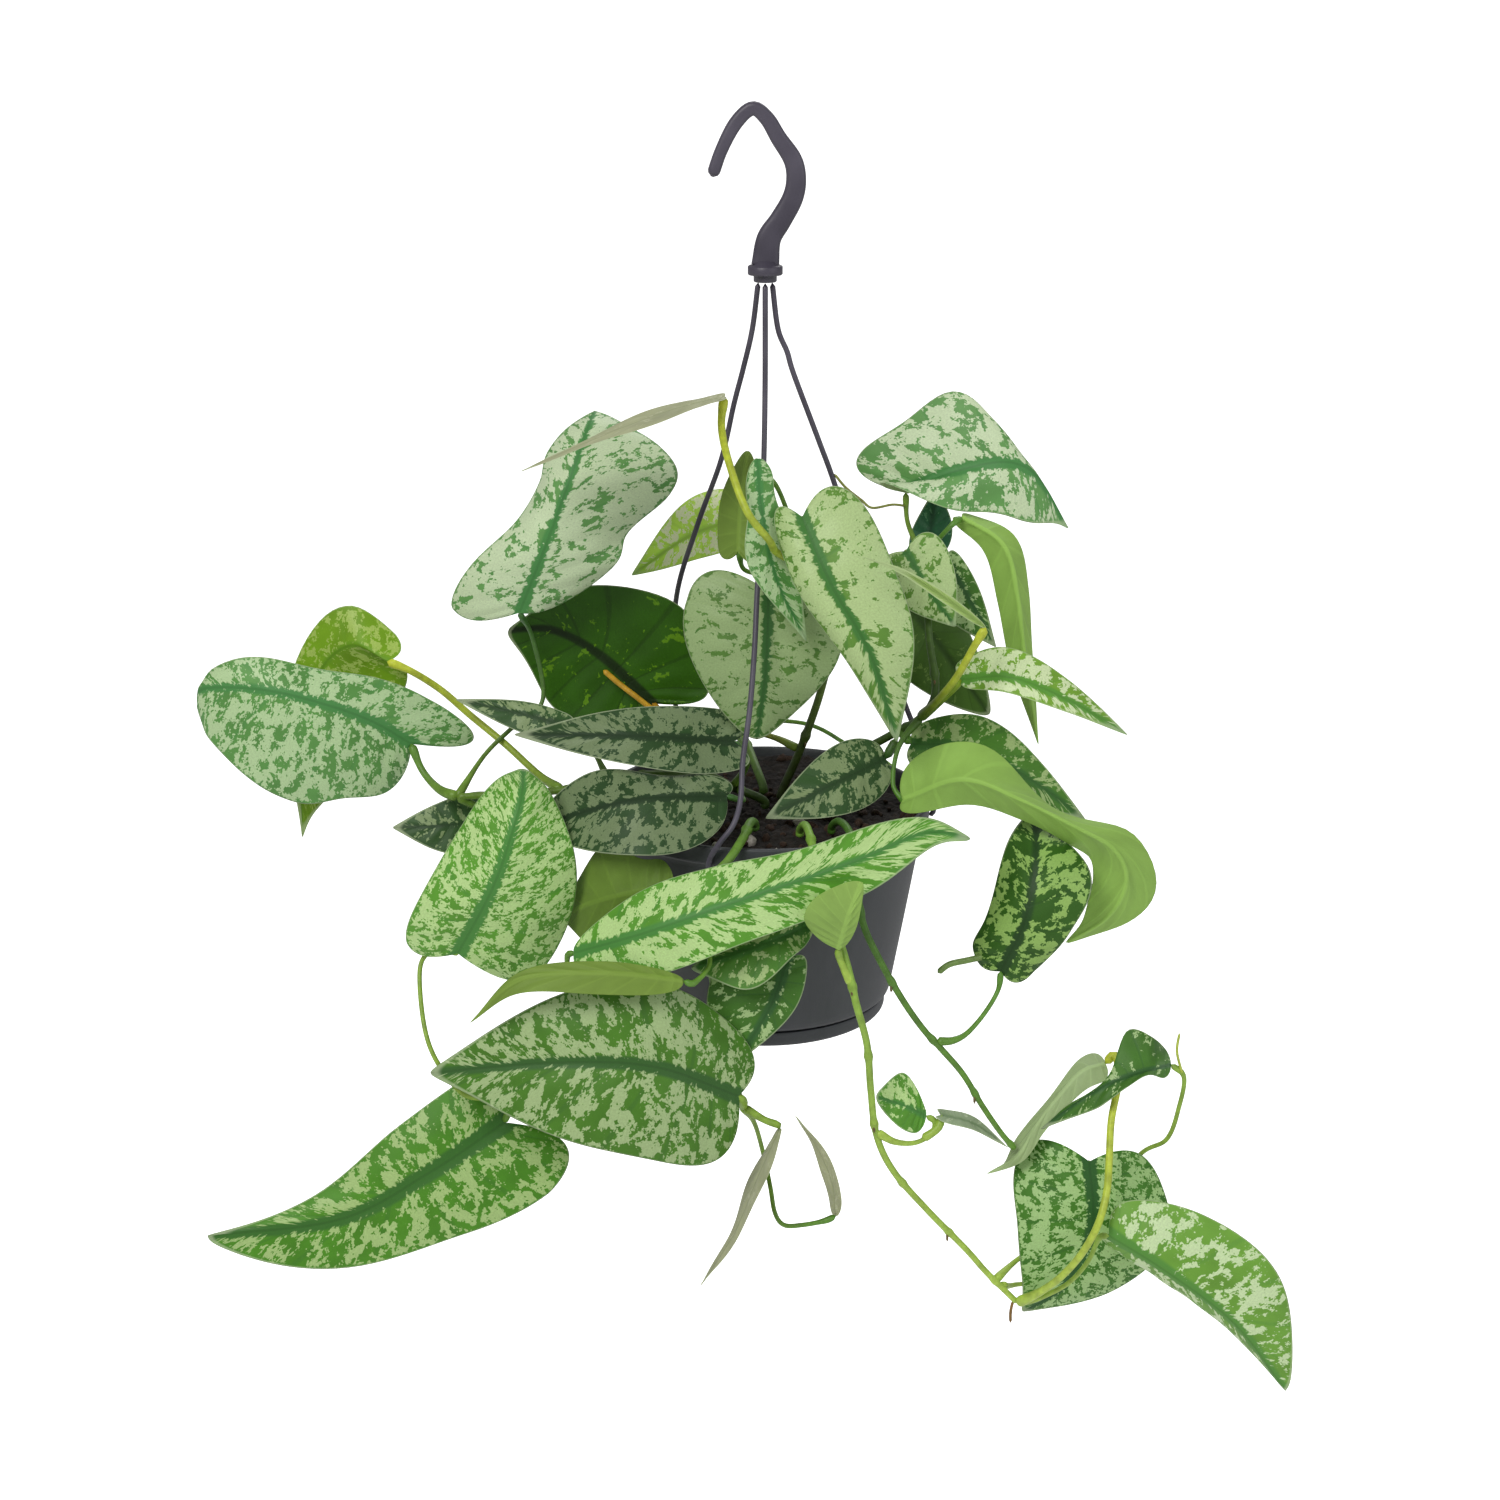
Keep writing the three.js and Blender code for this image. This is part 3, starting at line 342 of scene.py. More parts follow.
POT_SEGMENTS = 128
CORNER_CUT = 0.2  # share of an edge that is cut off at each of its corners
POT_PROFILE = [
    (0, -393), (50, -393), (54, -392.8), (56.6, -392.2), (57.9, -391.2), (58.5, -389.8), (61, -376),
    (66, -348), (71, -319), (72.6, -309.4), (73, -308.6), (74.4, -308.2), (75, -307.6), (75, -304),
    (75, -301), (74.7, -300.3), (74.1, -300), (73.2, -300), (72.6, -300.4), (72.2, -302), (71.3, -308),
    (66, -340), (57.6, -388), (56.2, -391), (54, -391.5), (0, -391.5),
]
SAUCER_PROFILE = [
    (0, -400), (53.8, -400), (55.2, -399.7), (55.9, -398.8), (56, -397), (56, -394), (55.8, -393.4),
    (55.2, -393.3), (54.7, -393.5), (54.5, -394.5), (54.4, -397.5), (53.6, -398.4), (0, -398.5),
]


def rounded(profile):
    """The profile with each corner cut off, at the corner cut's share of the two edges that meet there."""
    line = np.asarray(profile, float)
    near = line[:-1] * (1 - CORNER_CUT) + line[1:] * CORNER_CUT
    far = line[:-1] * CORNER_CUT + line[1:] * (1 - CORNER_CUT)
    return np.vstack([line[:1], np.stack([near, far], 1).reshape(-1, 2)[1:-1], line[-1:]])


pot_plastic, tree, surface = new_material("slate_pot_plastic")
place = node(tree, "TexCoord").outputs["Object"]
streaks = node(tree, "Mapping", Vector=place, Scale=(1, 1, 0.12)).outputs["Vector"]
haze = node(tree, "TexNoise", Vector=streaks, Scale=42, Detail=4, Roughness=0.6).outputs["Fac"]
grain = node(tree, "TexNoise", Vector=place, Scale=1400, Detail=2).outputs["Fac"]
two_tone(tree, surface, haze, (0.040, 0.044, 0.052), (0.072, 0.076, 0.086), 0.3, 0.75)
dull = node(tree, "MapRange", Value=haze, To_Min=0.42, To_Max=0.6)
tree.links.new(dull.outputs["Result"], surface.inputs["Roughness"])
relief(tree, surface, grain, 0.2, 0.0002)

for name, stands_for, profile in (
    ("nursery_pot", "pot", POT_PROFILE),
    ("clip_on_saucer", "drip_saucer", SAUCER_PROFILE),
):
    points, faces = turned(rounded(profile), POT_SEGMENTS)
    vessel = mesh_piece(name, points * MM, faces, [pot_plastic])
    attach(vessel, "root")
    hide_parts(stands_for)

# ---------------------------------------------------------------- potting soil
# A peat and bark mix fills the pot to just under its rim. Its top is crumbly and uneven, with loose
# chips of bark and a little white perlite lying on it.

SOIL_Z = -306
SOIL_RINGS, SOIL_SPOKES = 40, 120
SOIL_RADIUS = 71
SOIL_ROUGHNESS = 1.6
SOIL_HEAP = 4  # rise of the soil towards the back of the pot
FINE_CRUMBS, COARSE_CRUMBS = (8, 4), (9, 12)  # seed and size of each
CRUMB_WAVES, CRUMB_SPREAD = 24, 5  # number of waves, and what their sum is divided by
CHIPS = 170
CHIP_SIZES = (1.2, 3.6)
CHIP_SHARES = (0.45, 1)  # shares of its size that a chip has along its three directions
CHIP_UNEVENNESS = (0.8, 1.2)
CHIP_RINGS, CHIP_SIDES, CHIP_POLE = 4, 7, 0.5  # the pole is the angle from a chip's end to its first ring
CHIP_STEEPNESS = 0.35  # below 1 the chips lie rather than stand
CHIP_SPREAD = (0.01, 0.9)  # squares of the chips' distances from the middle, in soil radii
CHIP_LIFT = 0.4  # height of a chip's middle over the soil
PERLITE_SHARE = 0.12
soil_random = np.random.default_rng(5)


def crumbs(x, y, seed, size):
    """Sum of sine waves in random directions, with lengths around size, from about -1 to 1."""
    waves = np.random.default_rng(seed)
    angle = waves.uniform(0, 2 * np.pi, CRUMB_WAVES)
    number = 2 * np.pi / (size * waves.uniform(0.5, 2, CRUMB_WAVES))
    phase = waves.uniform(0, 2 * np.pi, CRUMB_WAVES)
    turn = x[..., None] * np.cos(angle) * number + y[..., None] * np.sin(angle) * number + phase
    return np.sin(turn).sum(-1) / CRUMB_SPREAD


def soil_top(x, y):
    """Height of the soil: crumbs of two sizes on a surface that rises in a straight line towards +y."""
    rise = crumbs(x, y, *FINE_CRUMBS) + 0.6 * crumbs(x, y, *COARSE_CRUMBS)
    return SOIL_Z - 1 + rise * SOIL_ROUGHNESS / 2 + SOIL_HEAP * np.clip(y / SOIL_RADIUS, 0, 1)


outline = [(56, -388), (62, -355), (66, -332), (69.5, -312), (SOIL_RADIUS, -308)]
outline += [(SOIL_RADIUS * (1 - k / SOIL_RINGS), SOIL_Z) for k in range(1, SOIL_RINGS)]
points, faces = turned([(0, -390), (52, -390), *outline, (0, SOIL_Z)], SOIL_SPOKES)
on_top = points[:, 2] > SOIL_Z - 0.5
points[:, 2] = np.where(on_top, soil_top(points[:, 0], points[:, 1]), points[:, 2])
soil_paint, tree, surface = new_material("peat_and_bark")
place = node(tree, "TexCoord").outputs["Object"]
clods = node(tree, "TexVoronoi", Vector=place, Scale=420).outputs["Distance"]
mottle = node(tree, "TexNoise", Vector=place, Scale=260, Detail=5).outputs["Fac"]
# Near-black browns: dark peat, darkened further as painted shade for the shadow under the leaves in the
# crown
two_tone(tree, surface, mottle, (0.004, 0.0025, 0.0015), (0.018, 0.010, 0.006), 0.35, 0.72)
surface.inputs["Roughness"].default_value = 0.95
relief(tree, surface, clods, 0.8, 0.001)
soil = mesh_piece("potting_mix", points * MM, faces, [soil_paint])
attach(soil, "root")
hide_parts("soil")

# Each chip is a squashed, uneven ball of a few rings, turned at random and half sunk in the soil
chip_turn = np.linspace(0, 2 * np.pi, CHIP_SIDES, endpoint=False)
chip_tilt = np.linspace(CHIP_POLE, np.pi - CHIP_POLE, CHIP_RINGS)
ball = np.stack([
    np.sin(chip_tilt)[:, None] * np.cos(chip_turn),
    np.sin(chip_tilt)[:, None] * np.sin(chip_turn),
    np.repeat(-np.cos(chip_tilt)[:, None], CHIP_SIDES, 1),
], -1)
ball_points, ball_faces = skin(ball)
chip_size = soil_random.uniform(*CHIP_SIZES, (CHIPS, 1, 1))
chip_size = chip_size * soil_random.uniform(*CHIP_SHARES, (CHIPS, 1, 3))
chip_shape = ball_points * chip_size * soil_random.uniform(*CHIP_UNEVENNESS, (CHIPS, len(ball_points), 1))
chip_axes = unit(soil_random.normal(size=(CHIPS, 3)) * (1, 1, CHIP_STEEPNESS))
chip_side = unit(np.cross(chip_axes, (0, 0, 1)))
chip_turned = (
    chip_shape[..., :1] * chip_axes[:, None]
    + chip_shape[..., 1:2] * chip_side[:, None]
    + chip_shape[..., 2:] * np.cross(chip_axes, chip_side)[:, None]
)
chip_far = np.sqrt(soil_random.uniform(*CHIP_SPREAD, CHIPS)) * SOIL_RADIUS
chip_angle = soil_random.uniform(0, 2 * np.pi, CHIPS)
chip_x, chip_y = AXIS_X + chip_far * np.cos(chip_angle), chip_far * np.sin(chip_angle)
chip_place = np.stack([chip_x, chip_y, soil_top(chip_x, chip_y) + CHIP_LIFT], 1)
chip_points = (chip_turned + chip_place[:, None]).reshape(-1, 3)
starts = np.arange(CHIPS)[:, None, None] * len(ball_points)
chip_faces = (ball_faces[None] + starts).reshape(-1, 3)
bark_paint, tree, surface = new_material("bark_chip")
place = node(tree, "TexCoord").outputs["Object"]
fibre = node(tree, "TexNoise", Vector=place, Scale=700, Detail=3).outputs["Fac"]
# Dark browns: bark, darkened further as painted shade for the shadow in the crown, like the soil
two_tone(tree, surface, fibre, (0.010, 0.005, 0.003), (0.06, 0.028, 0.014))
surface.inputs["Roughness"].default_value = 0.9
relief(tree, surface, fibre, 0.6, 0.0006)
perlite_paint, tree, surface = new_material("perlite")
place = node(tree, "TexCoord").outputs["Object"]
pits = node(tree, "TexNoise", Vector=place, Scale=1200, Detail=2).outputs["Fac"]
two_tone(tree, surface, pits, (0.25, 0.22, 0.18), (0.55, 0.52, 0.47))
surface.inputs["Roughness"].default_value = 0.9
is_perlite = np.repeat(np.arange(CHIPS) < CHIPS * PERLITE_SHARE, len(ball_faces))
chips = mesh_piece("bark_and_perlite", chip_points * MM, chip_faces, [bark_paint, perlite_paint], is_perlite)
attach(chips, "root")

# ---------------------------------------------------------------- stems
# Seven soft round stems: four shoots that rise from the middle of the soil and three vines that hang
# over the rim. Each is jointed by slightly swollen nodes, with short brown air-root stubs, and is
# yellow-green where it is young and darker towards the root.

STEMS = {
    "crown_left": {
        "radius": 2, "root": "#3c5424", "tip": "#6f8f38",
        "limbs": [
            [
                (4, -5, -305.3), (4, -5, -301), (-10, -10, -293), (-22, -16, -286), (-51, -30, -281),
                (-85, -36, -286), (-130, -42, -287),
            ],
        ],
    },
    "crown_middle": {
        "radius": 2, "root": "#2e3a1c", "tip": "#7d9a3c",
        "limbs": [
            [
                (12, 8, -305.3), (13, 8, -300), (21, 6, -280), (30, 2, -251), (34, -4, -226),
                (29, -10, -208), (21, -13, -190),
            ],
        ],
    },
    "crown_right": {
        "radius": 2, "root": "#2c4218", "tip": "#4c6c26",
        "limbs": [
            [
                (20, 0, -305.3), (21, 0, -300), (28, 3, -295), (44, 6, -284), (61, 0, -272),
                (74, -14, -259), (80, -16, -246), (77, -14, -224), (76, -6, -207), (74, 6, -197),
            ],
        ],
    },
    "crown_back": {
        "radius": 2, "root": "#4d6b2c", "tip": "#6f9438",
        "limbs": [
            [(4, 15, -305.3), (4, 15, -301), (1, 24, -295), (-4, 45, -288), (-9, 73, -286)],
        ],
    },
    "vine_front": {
        "radius": 1.8, "root": "#7aa546", "tip": "#b4d060",
        "limbs": [
            [
                (20, -44, -305.3), (20, -45, -301), (22, -57, -295), (24, -72, -296), (26, -84, -304),
                (32, -92, -322), (39, -98, -343), (43, -100, -360), (48, -98, -380), (50, -96, -402),
                (53, -93, -425), (61, -90, -444), (77, -87, -465), (94, -84, -485), (104, -82, -498),
                (118, -82, -513),
            ],
        ],
    },
    "vine_right": {
        "radius": 1.7, "root": "#3f6622", "tip": "#6d9a40",
        "limbs": [
            [
                (34, -40, -305.3), (34, -41, -301), (37, -52, -295), (41, -66, -296), (43, -78, -308),
                (46, -84, -329), (54, -86, -347), (64, -86, -365), (73, -84, -379), (81, -82, -389),
                (91, -80, -402), (100, -78, -418), (109, -74, -433), (116, -70, -443),
            ],
        ],
    },
    "vine_low": {
        "radius": 2, "root": "#5f8a3a", "tip": "#8fae48",
        "limbs": [
            [
                (0, -36, -305.3), (0, -37, -301), (-2, -54, -295), (-5, -72, -295.5), (-12, -85, -302),
                (-23, -88, -311), (-36, -88, -329), (-49, -90, -351), (-66, -94, -375), (-88, -94, -396),
                (-115, -86, -410),
            ],
            [(-23, -88, -311), (-21, -82, -331), (-18, -74, -360), (-14, -78, -391), (-5, -92, -412)],
        ],
    },
}
STEM_SIDES, STEM_STEP = 14, 1.2
NODE_SPACING, NODE_SWELLING, NODE_LENGTH = 34, 0.32, 1.8
STEM_THINNING = 0.25  # share of its radius that a limb loses by its tip
AIR_ROOT_LENGTH, AIR_ROOT_RADIUS = 4.5, 0.55
AIR_ROOT_SIDES, AIR_ROOT_STEP = 6, 1
AIR_ROOT_WAY = (0, -0.5, -1)
AIR_ROOT_BROWN = "#6b5a34"
BARE_TIP = 4  # no air root stands nearer than this to a limb's tip
LIMB_POINTS = 200
FINE_SIDES, FINE_STEP = 8, 1
# Fine growths beside the leaf stalks: colour, radius and centreline of each
TENDRILS = [
    ("#8a8f4a", 0.6, [(35, 4, -153), (40, 4, -159), (47, 6, -165), (52, 8, -169), (61, 10, -168),
                      (67, 12, -169)]),
    ("#b9c85a", 0.6, [(186, -72, -386), (185, -74, -394), (188, -73, -405)]),
    ("#8a6a3a", 0.7, [(116, -82, -512), (115, -83, -517), (115, -84, -522)]),
    ("#7f9c58", 1.5, [(108, -55, -354), (102, -54, -357), (94, -54, -359), (86, -54, -361),
                      (81, -54, -365)]),
    ("#d0a23e", 1.3, [(-69, 24, -248), (-62, 23, -254), (-55, 21, -259), (-47, 20, -265), (-38, 20, -270)]),
]


def paint(text):
    """A colour written as six hex digits, as the linear red, green and blue that a shader wants."""
    part = np.array([int(text[k : k + 2], 16) for k in (1, 3, 5)]) / 255
    return np.where(part <= 0.04045, part / 12.92, ((part + 0.055) / 1.055) ** 2.4)


def colour_layer(piece, name, colours):
    """Writes one colour per point (n, 3), or one for all, as the mesh attribute of that name."""
    count = len(piece.data.vertices)
    rgba = np.ones((count, 4), np.float32)
    rgba[:, :3] = colours
    layer = piece.data.attributes.new(name, "FLOAT_COLOR", "POINT")
    layer.data.foreach_set("color", rgba.ravel())


def limb_radius(radius):
    """radius (1 - thinning u) (1 + a bell-shaped swelling at each node, every node spacing along)."""
    def size(u, length):
        from_node = (u * length + NODE_SPACING / 2) % NODE_SPACING - NODE_SPACING / 2
        swelling = NODE_SWELLING * np.exp(-((from_node / NODE_LENGTH) ** 2))
        return radius * (1 - STEM_THINNING * u) * (1 + swelling)
    return size


stem_skin, tree, surface = new_material("stem_skin")
place = node(tree, "TexCoord").outputs["Object"]
shade = node(tree, "Attribute", attribute_name="shade").outputs["Color"]
mottle = node(tree, "TexNoise", Vector=place, Scale=240, Detail=4, Roughness=0.6).outputs["Fac"]
fine = node(tree, "TexNoise", Vector=place, Scale=1500, Detail=2).outputs["Fac"]
value = node(tree, "MapRange", Value=mottle, From_Min=0.3, From_Max=0.7, To_Min=0.72, To_Max=1.18)
tinted = node(tree, "HueSaturation", Color=shade, Value=value.outputs["Result"], Saturation=1.05)
tree.links.new(tinted.outputs["Color"], surface.inputs["Base Color"])
surface.inputs["Roughness"].default_value = 0.45
relief(tree, surface, fine, 0.3, 0.0003)

for name, stem in STEMS.items():
    parts, shades = [], []
    for limb in stem["limbs"]:
        points, faces = tube(limb, limb_radius(stem["radius"]), STEM_SIDES, STEM_STEP)
        reach = np.arange(len(points))[:, None] / len(points)
        parts.append((points, faces))
        shades.append(paint(stem["root"]) * (1 - reach) + paint(stem["tip"]) * reach)
        # Air roots stand out, down and to the front, from every other node
        line, length = by_length(smooth_line(limb, LIMB_POINTS), LIMB_POINTS)
        for far in np.arange(NODE_SPACING, length - BARE_TIP, 2 * NODE_SPACING):
            k = int(far / length * (LIMB_POINTS - 1))
            root = line[k] + np.outer([0, 0.5, 1], AIR_ROOT_WAY) * AIR_ROOT_LENGTH
            points, faces = tube(root, AIR_ROOT_RADIUS, AIR_ROOT_SIDES, AIR_ROOT_STEP)
            parts.append((points, faces))
            shades.append(np.tile(paint(AIR_ROOT_BROWN), (len(points), 1)))
    points, faces = joined(parts)
    vine = mesh_piece("stem_" + name, points * MM, faces, [stem_skin])
    colour_layer(vine, "shade", np.vstack(shades))
    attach(vine, "root")
    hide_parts(name)

parts = [tube(line, radius, FINE_SIDES, FINE_STEP) for _, radius, line in TENDRILS]
shades = [np.tile(paint(look[0]), (len(part[0]), 1)) for look, part in zip(TENDRILS, parts)]
points, faces = joined(parts)
tendrils = mesh_piece("fine_growths", points * MM, faces, [stem_skin])
colour_layer(tendrils, "shade", np.vstack(shades))
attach(tendrils, "root")

# ---------------------------------------------------------------- leaves
# Each leaf is one heart-shaped, leathery blade on a stalk. Its midrib is sunk above and stands out
# below, its side veins sweep forward to the margin, and its upper side is dark green with irregular
# silver blotches between the veins; the underside is plain and pale. Older leaves curl at the tip.

# Of each leaf: the line of its midrib, and the half-widths to its left and right margin from base to tip;
# how far its lobes reach back and how fast it tapers; how high it bulges beside the midrib; the line of
# its stalk down to its stem; its upper colour, share of silver, plain band along the midrib and underside
LEAVES = {
    "leaf_01": {
        "midrib": [(-105, 5, -216), (-92, -5, -184), (-81, -4, -155), (-74, 10, -136), (-71, 26, -129)],
        "left": [(-40, 14, -1), (-28, 12, 3), (-17, 14, 2), (-18, 23, -2), (-29, 20, -10), (-26, 18, -9)],
        "right": [(26, 8, -8), (38, 11, 1), (34, 18, -5), (51, 24, -10), (63, 26, -18), (57, 23, -16)],
        "lobes": (0.25, 0), "cup": 3, "taper": 0.3, "stem": "crown_left",
        "stalk": [(-100, 14, -231), (-96, 10, -258), (-109, 0, -268), (-120, -20, -275), (-130, -42, -287)],
        "top": "frost", "cover": 0.7, "band": 3.0, "under": "sage", "stalk_shade": "dark",
    },
    "leaf_02": {
        "midrib": [(-13, -25, -114), (-35, -30, -119), (-61, -34, -128), (-99, -30, -145)],
        "left": [(1, -22, 1)], "right": [(-1, 22, -1)],
        "lobes": (0.1, 0.1), "stem": "crown_middle",
        "stalk": [
            (-14, -30, -127), (-10, -46, -141), (-3, -58, -157), (6, -57, -169), (9, -48, -176),
            (17, -45, -181), (22, -38, -184), (23, -28, -189), (23, -12, -198),
        ],
        "top": "edge", "cover": 0.1, "band": 1.0, "under": "beige", "stalk_shade": "yellow",
    },
    "leaf_03": {
        "midrib": [(-8, 48, -183), (-30, 54, -192), (-57, 56, -211)],
        "left": [(2, 0, -13)], "right": [(-4, 2, 16)],
        "stem": "crown_middle",
        "stalk": [(5, 36, -185), (16, 8, -193), (23, -12, -198)],
        "top": "glow", "cover": 0.55, "band": 2.0, "under": "light", "stalk_shade": "light",
    },
    "leaf_04": {
        "midrib": [(-7, -6, -186), (-6, 0, -166), (-3, 16, -145)],
        "left": [(9, -6, 0)], "right": [(-10, 8, -1)],
        "taper": 0.2, "stem": "crown_middle",
        "stalk": [(-4, 2, -196), (9, 2, -198), (23, -12, -198)],
        "top": "olive", "cover": 0.15, "band": 2.0, "under": "olive", "stalk_shade": "green",
    },
    "leaf_05": {
        "midrib": [(1, -34, -139), (3, -43, -159), (9, -45, -188), (22, -44, -216)],
        "left": [(9, 2, -4), (6, 6, 7), (14, 11, 11), (13, 10, 10)],
        "right": [(-7, -5, -6), (-7, -2, 4), (-17, -8, 7), (-15, -7, 6)],
        "lobes": (0.1, 0.1), "stem": "crown_middle",
        "stalk": [
            (1, -28, -145), (8, -23, -151), (13, -13, -163), (17, -9, -177), (19, -10, -188),
            (23, -12, -198),
        ],
        "top": "cool", "cover": 0.6, "band": 2.0, "under": "sage", "stalk_shade": "green",
    },
    "leaf_06": {
        "midrib": [(20, -48, -161), (32, -60, -187), (49, -64, -217), (61, -54, -258)],
        "left": [(26, 6, 9)], "right": [(-13, 4, -7)],
        "cup": 3, "stem": "crown_middle",
        "stalk": [(21, -30, -177), (23, -12, -198)],
        "top": "sage", "cover": 0.75, "band": 3.0, "under": "sage", "stalk_shade": "light",
    },
    "leaf_07": {
        "midrib": [(6, -24, -199), (5, -30, -231), (1, -28, -265)],
        "left": [(30, 8, -6), (34, 4, 2), (31, 4, 2)], "right": [(-36, 6, -5), (-39, 7, 1), (-35, 6, 1)],
        "lobes": (0.1, 0.5), "cup": 3, "taper": 0.35, "stem": "crown_middle",
        "stalk": [(12, -15, -198), (23, -12, -198)],
        "top": "sage_painted_shade", "cover": 0.75, "band": 3.0, "under": "sage", "stalk_shade": "green",
    },
    "leaf_08": {
        "midrib": [(-47, 28, -265), (-70, 30, -243), (-92, 28, -230), (-112, 24, -229)],
        "left": [(-13, -5, -30), (-19, -4, -27), (-16, -4, -38), (-10, -2, -23)],
        "right": [(30, 3, 8), (32, 0, 29), (12, 2, 32), (7, 1, 19)],
        "lobes": (0.3, 0.3), "taper": 0.4, "stem": "crown_middle",
        "stalk": [(-38, 20, -270), (-16, 21, -274), (7, 16, -277), (20, 6, -280)],
        "top": "painted_backlight", "cover": 0.06, "band": 3.0, "under": "olive", "stalk_shade": "orange",
    },
    "leaf_09": {
        "midrib": [(-9, -28, -266), (-50, -46, -258), (-105, -34, -261)],
        "left": [(0, -12, -12)], "right": [(0, 14, 11)],
        "stem": "crown_left",
        "stalk": [(-3, -20, -277), (-6, -12, -287), (-10, -10, -293)],
        "top": "deep", "cover": 0.62, "band": 3.0, "under": "grey", "stalk_shade": "dark",
    },
    "leaf_10": {
        "midrib": [(-12, -56, -282), (-49, -66, -280), (-80, -56, -291), (-100, -38, -302)],
        "left": [(1, -22, -20), (0, -17, -19), (0, -9, -12)],
        "right": [(-11, 12, 7), (3, 16, 6), (3, 21, 19), (3, 21, 19)],
        "lobes": (0.05, 0.3), "taper": 0.5, "stem": "crown_left",
        "stalk": [(-5, -47, -287), (-6, -24, -292), (-6, -8, -294)],
        "top": "deep", "cover": 0.55, "band": 3.0, "under": "grey", "stalk_shade": "dark",
    },
    "leaf_11": {
        "midrib": [(-117, -28, -302), (-137, -34, -303), (-160, -34, -304)],
        "left": [(0, -6, -13)], "right": [(0, 6, 12)],
        "stem": "crown_left",
        "stalk": [(-117, -35, -297), (-130, -42, -287)],
        "top": "shade", "cover": 0.4, "band": 2.0, "under": "grey", "stalk_shade": "dark",
    },
    "leaf_12": {
        "midrib": [
            (-152, -22, -269), (-168, -30, -256), (-189, -36, -246), (-214, -36, -240), (-241, -28, -242),
            (-247, -16, -254),
        ],
        "left": [(-8, 17, -42), (-6, 9, -43), (-2, 9, -55), (3, 6, -52), (2, 4, -31)],
        "right": [(12, 14, 14), (9, 15, 13), (9, 13, 11), (9, 7, 19), (5, 4, 11)],
        "lobes": (0.05, 0.55), "cup": 2, "taper": 0.1, "stem": "crown_left",
        "stalk": [(-147, -26, -280), (-139, -34, -286), (-130, -42, -287)],
        "top": "cool", "cover": 0.55, "band": 3.5, "under": "grey", "stalk_shade": "stout", "grain": 1.5,
    },
    "leaf_13": {
        "midrib": [(-163, -8, -235), (-181, 0, -230), (-198, 8, -248), (-206, 6, -285), (-207, 2, -321)],
        "left": [(8, 10, -8), (34, -2, -12), (33, -2, -17), (21, 1, -27), (13, 1, -16)],
        "right": [(4, 17, 12), (-3, 4, 18), (-12, 5, 5), (-10, 5, 0), (-7, 3, 0)],
        "lobes": (0.1, 0.2), "stem": "crown_left",
        "stalk": [
            (-153, -6, -240), (-141, 2, -251), (-128, 2, -263), (-112, -6, -274), (-96, -20, -284),
            (-85, -36, -286),
        ],
        "top": "lime", "cover": 0.42, "band": 2.0, "under": "olive", "stalk_shade": "yellow", "grain": 1.6,
    },
    "leaf_14": {
        "midrib": [
            (-129, -68, -350), (-112, -80, -316), (-103, -82, -291), (-99, -72, -276), (-100, -52, -271),
        ],
        "left": [(-29, 7, 3), (-25, 6, 8), (-22, 18, 13), (-26, 27, 3), (-16, 16, 2)],
        "right": [(40, 7, -17), (39, 11, -4), (33, 18, 1), (24, 27, -5), (14, 16, -3)],
        "lobes": (0.25, 0.25), "cup": 3, "taper": 0.35, "stem": "vine_low",
        "stalk": [
            (-135, -60, -352), (-142, -58, -353), (-147, -60, -361), (-144, -76, -380), (-138, -84, -394),
            (-127, -86, -408), (-115, -86, -410),
        ],
        "top": "fresh", "cover": 0.55, "band": 4.0, "under": "light", "stalk_shade": "light", "grain": 1.8,
    },
    "leaf_15": {
        "midrib": [
            (-77, -90, -341), (-48, -104, -327), (-19, -108, -315), (40, -104, -295), (71, -98, -284),
            (90, -94, -288),
        ],
        "left": [(1, 10, 10), (-2, 16, 15), (-4, 16, 12), (-3, 16, 9), (-2, 20, 13), (-1, 12, 8)],
        "right": [(2, -9, -19), (5, 0, -21), (9, -2, -16), (8, 0, -19), (8, -4, -18), (5, -2, -11)],
        "lobes": (0.05, 0.05), "taper": 0.3, "stem": "vine_low",
        "stalk": [(-80, -87, -344), (-79, -87, -355), (-71, -92, -368), (-66, -94, -375)],
        "top": "fresh", "cover": 0.58, "band": 3.0, "under": "light", "stalk_shade": "green",
    },
    "leaf_16": {
        "midrib": [(25, -82, -331), (2, -92, -337), (-27, -90, -348)],
        "left": [(-1, -5, -9), (8, -4, -6), (7, -10, -17), (4, -6, -10)],
        "right": [(-1, 5, 5), (5, 6, 9), (-3, 11, 5), (-2, 7, 3)],
        "lobes": (0.1, 0.1), "taper": 0.3, "stem": "vine_front",
        "stalk": [(34, -92, -329)],
        "top": "mid", "cover": 0.42, "band": 3.0, "under": "sage", "stalk_shade": "green",
    },
    "leaf_17": {
        "midrib": [(14, -80, -348), (7, -86, -367), (-9, -86, -395)],
        "left": [(10, 0, -4)], "right": [(-30, 5, 0)],
        "stem": "vine_front",
        "stalk": [(19, -75, -337), (24, -74, -318), (26, -82, -303)],
        "top": "dim", "cover": 0.35, "band": 3.0, "under": "olive", "stalk_shade": "green",
    },
    "leaf_18": {
        "midrib": [(-110, -78, -426), (-142, -88, -445), (-182, -92, -466), (-240, -96, -472)],
        "left": [(21, -8, -32), (11, -4, -28), (-1, -4, -47)],
        "right": [(-15, 10, 20), (-14, 8, 16), (-9, 4, 4)],
        "lobes": (0.4, 0.4), "cup": 2, "taper": 0.6, "stem": "vine_low",
        "stalk": [(-108, -82, -417), (-115, -86, -410)],
        "top": "leafy", "cover": 0.47, "band": 5.0, "under": "sage", "stalk_shade": "green", "grain": 1.2,
    },
    "leaf_19": {
        "midrib": [(-7, -100, -403), (-42, -114, -383), (-82, -114, -381), (-139, -98, -393)],
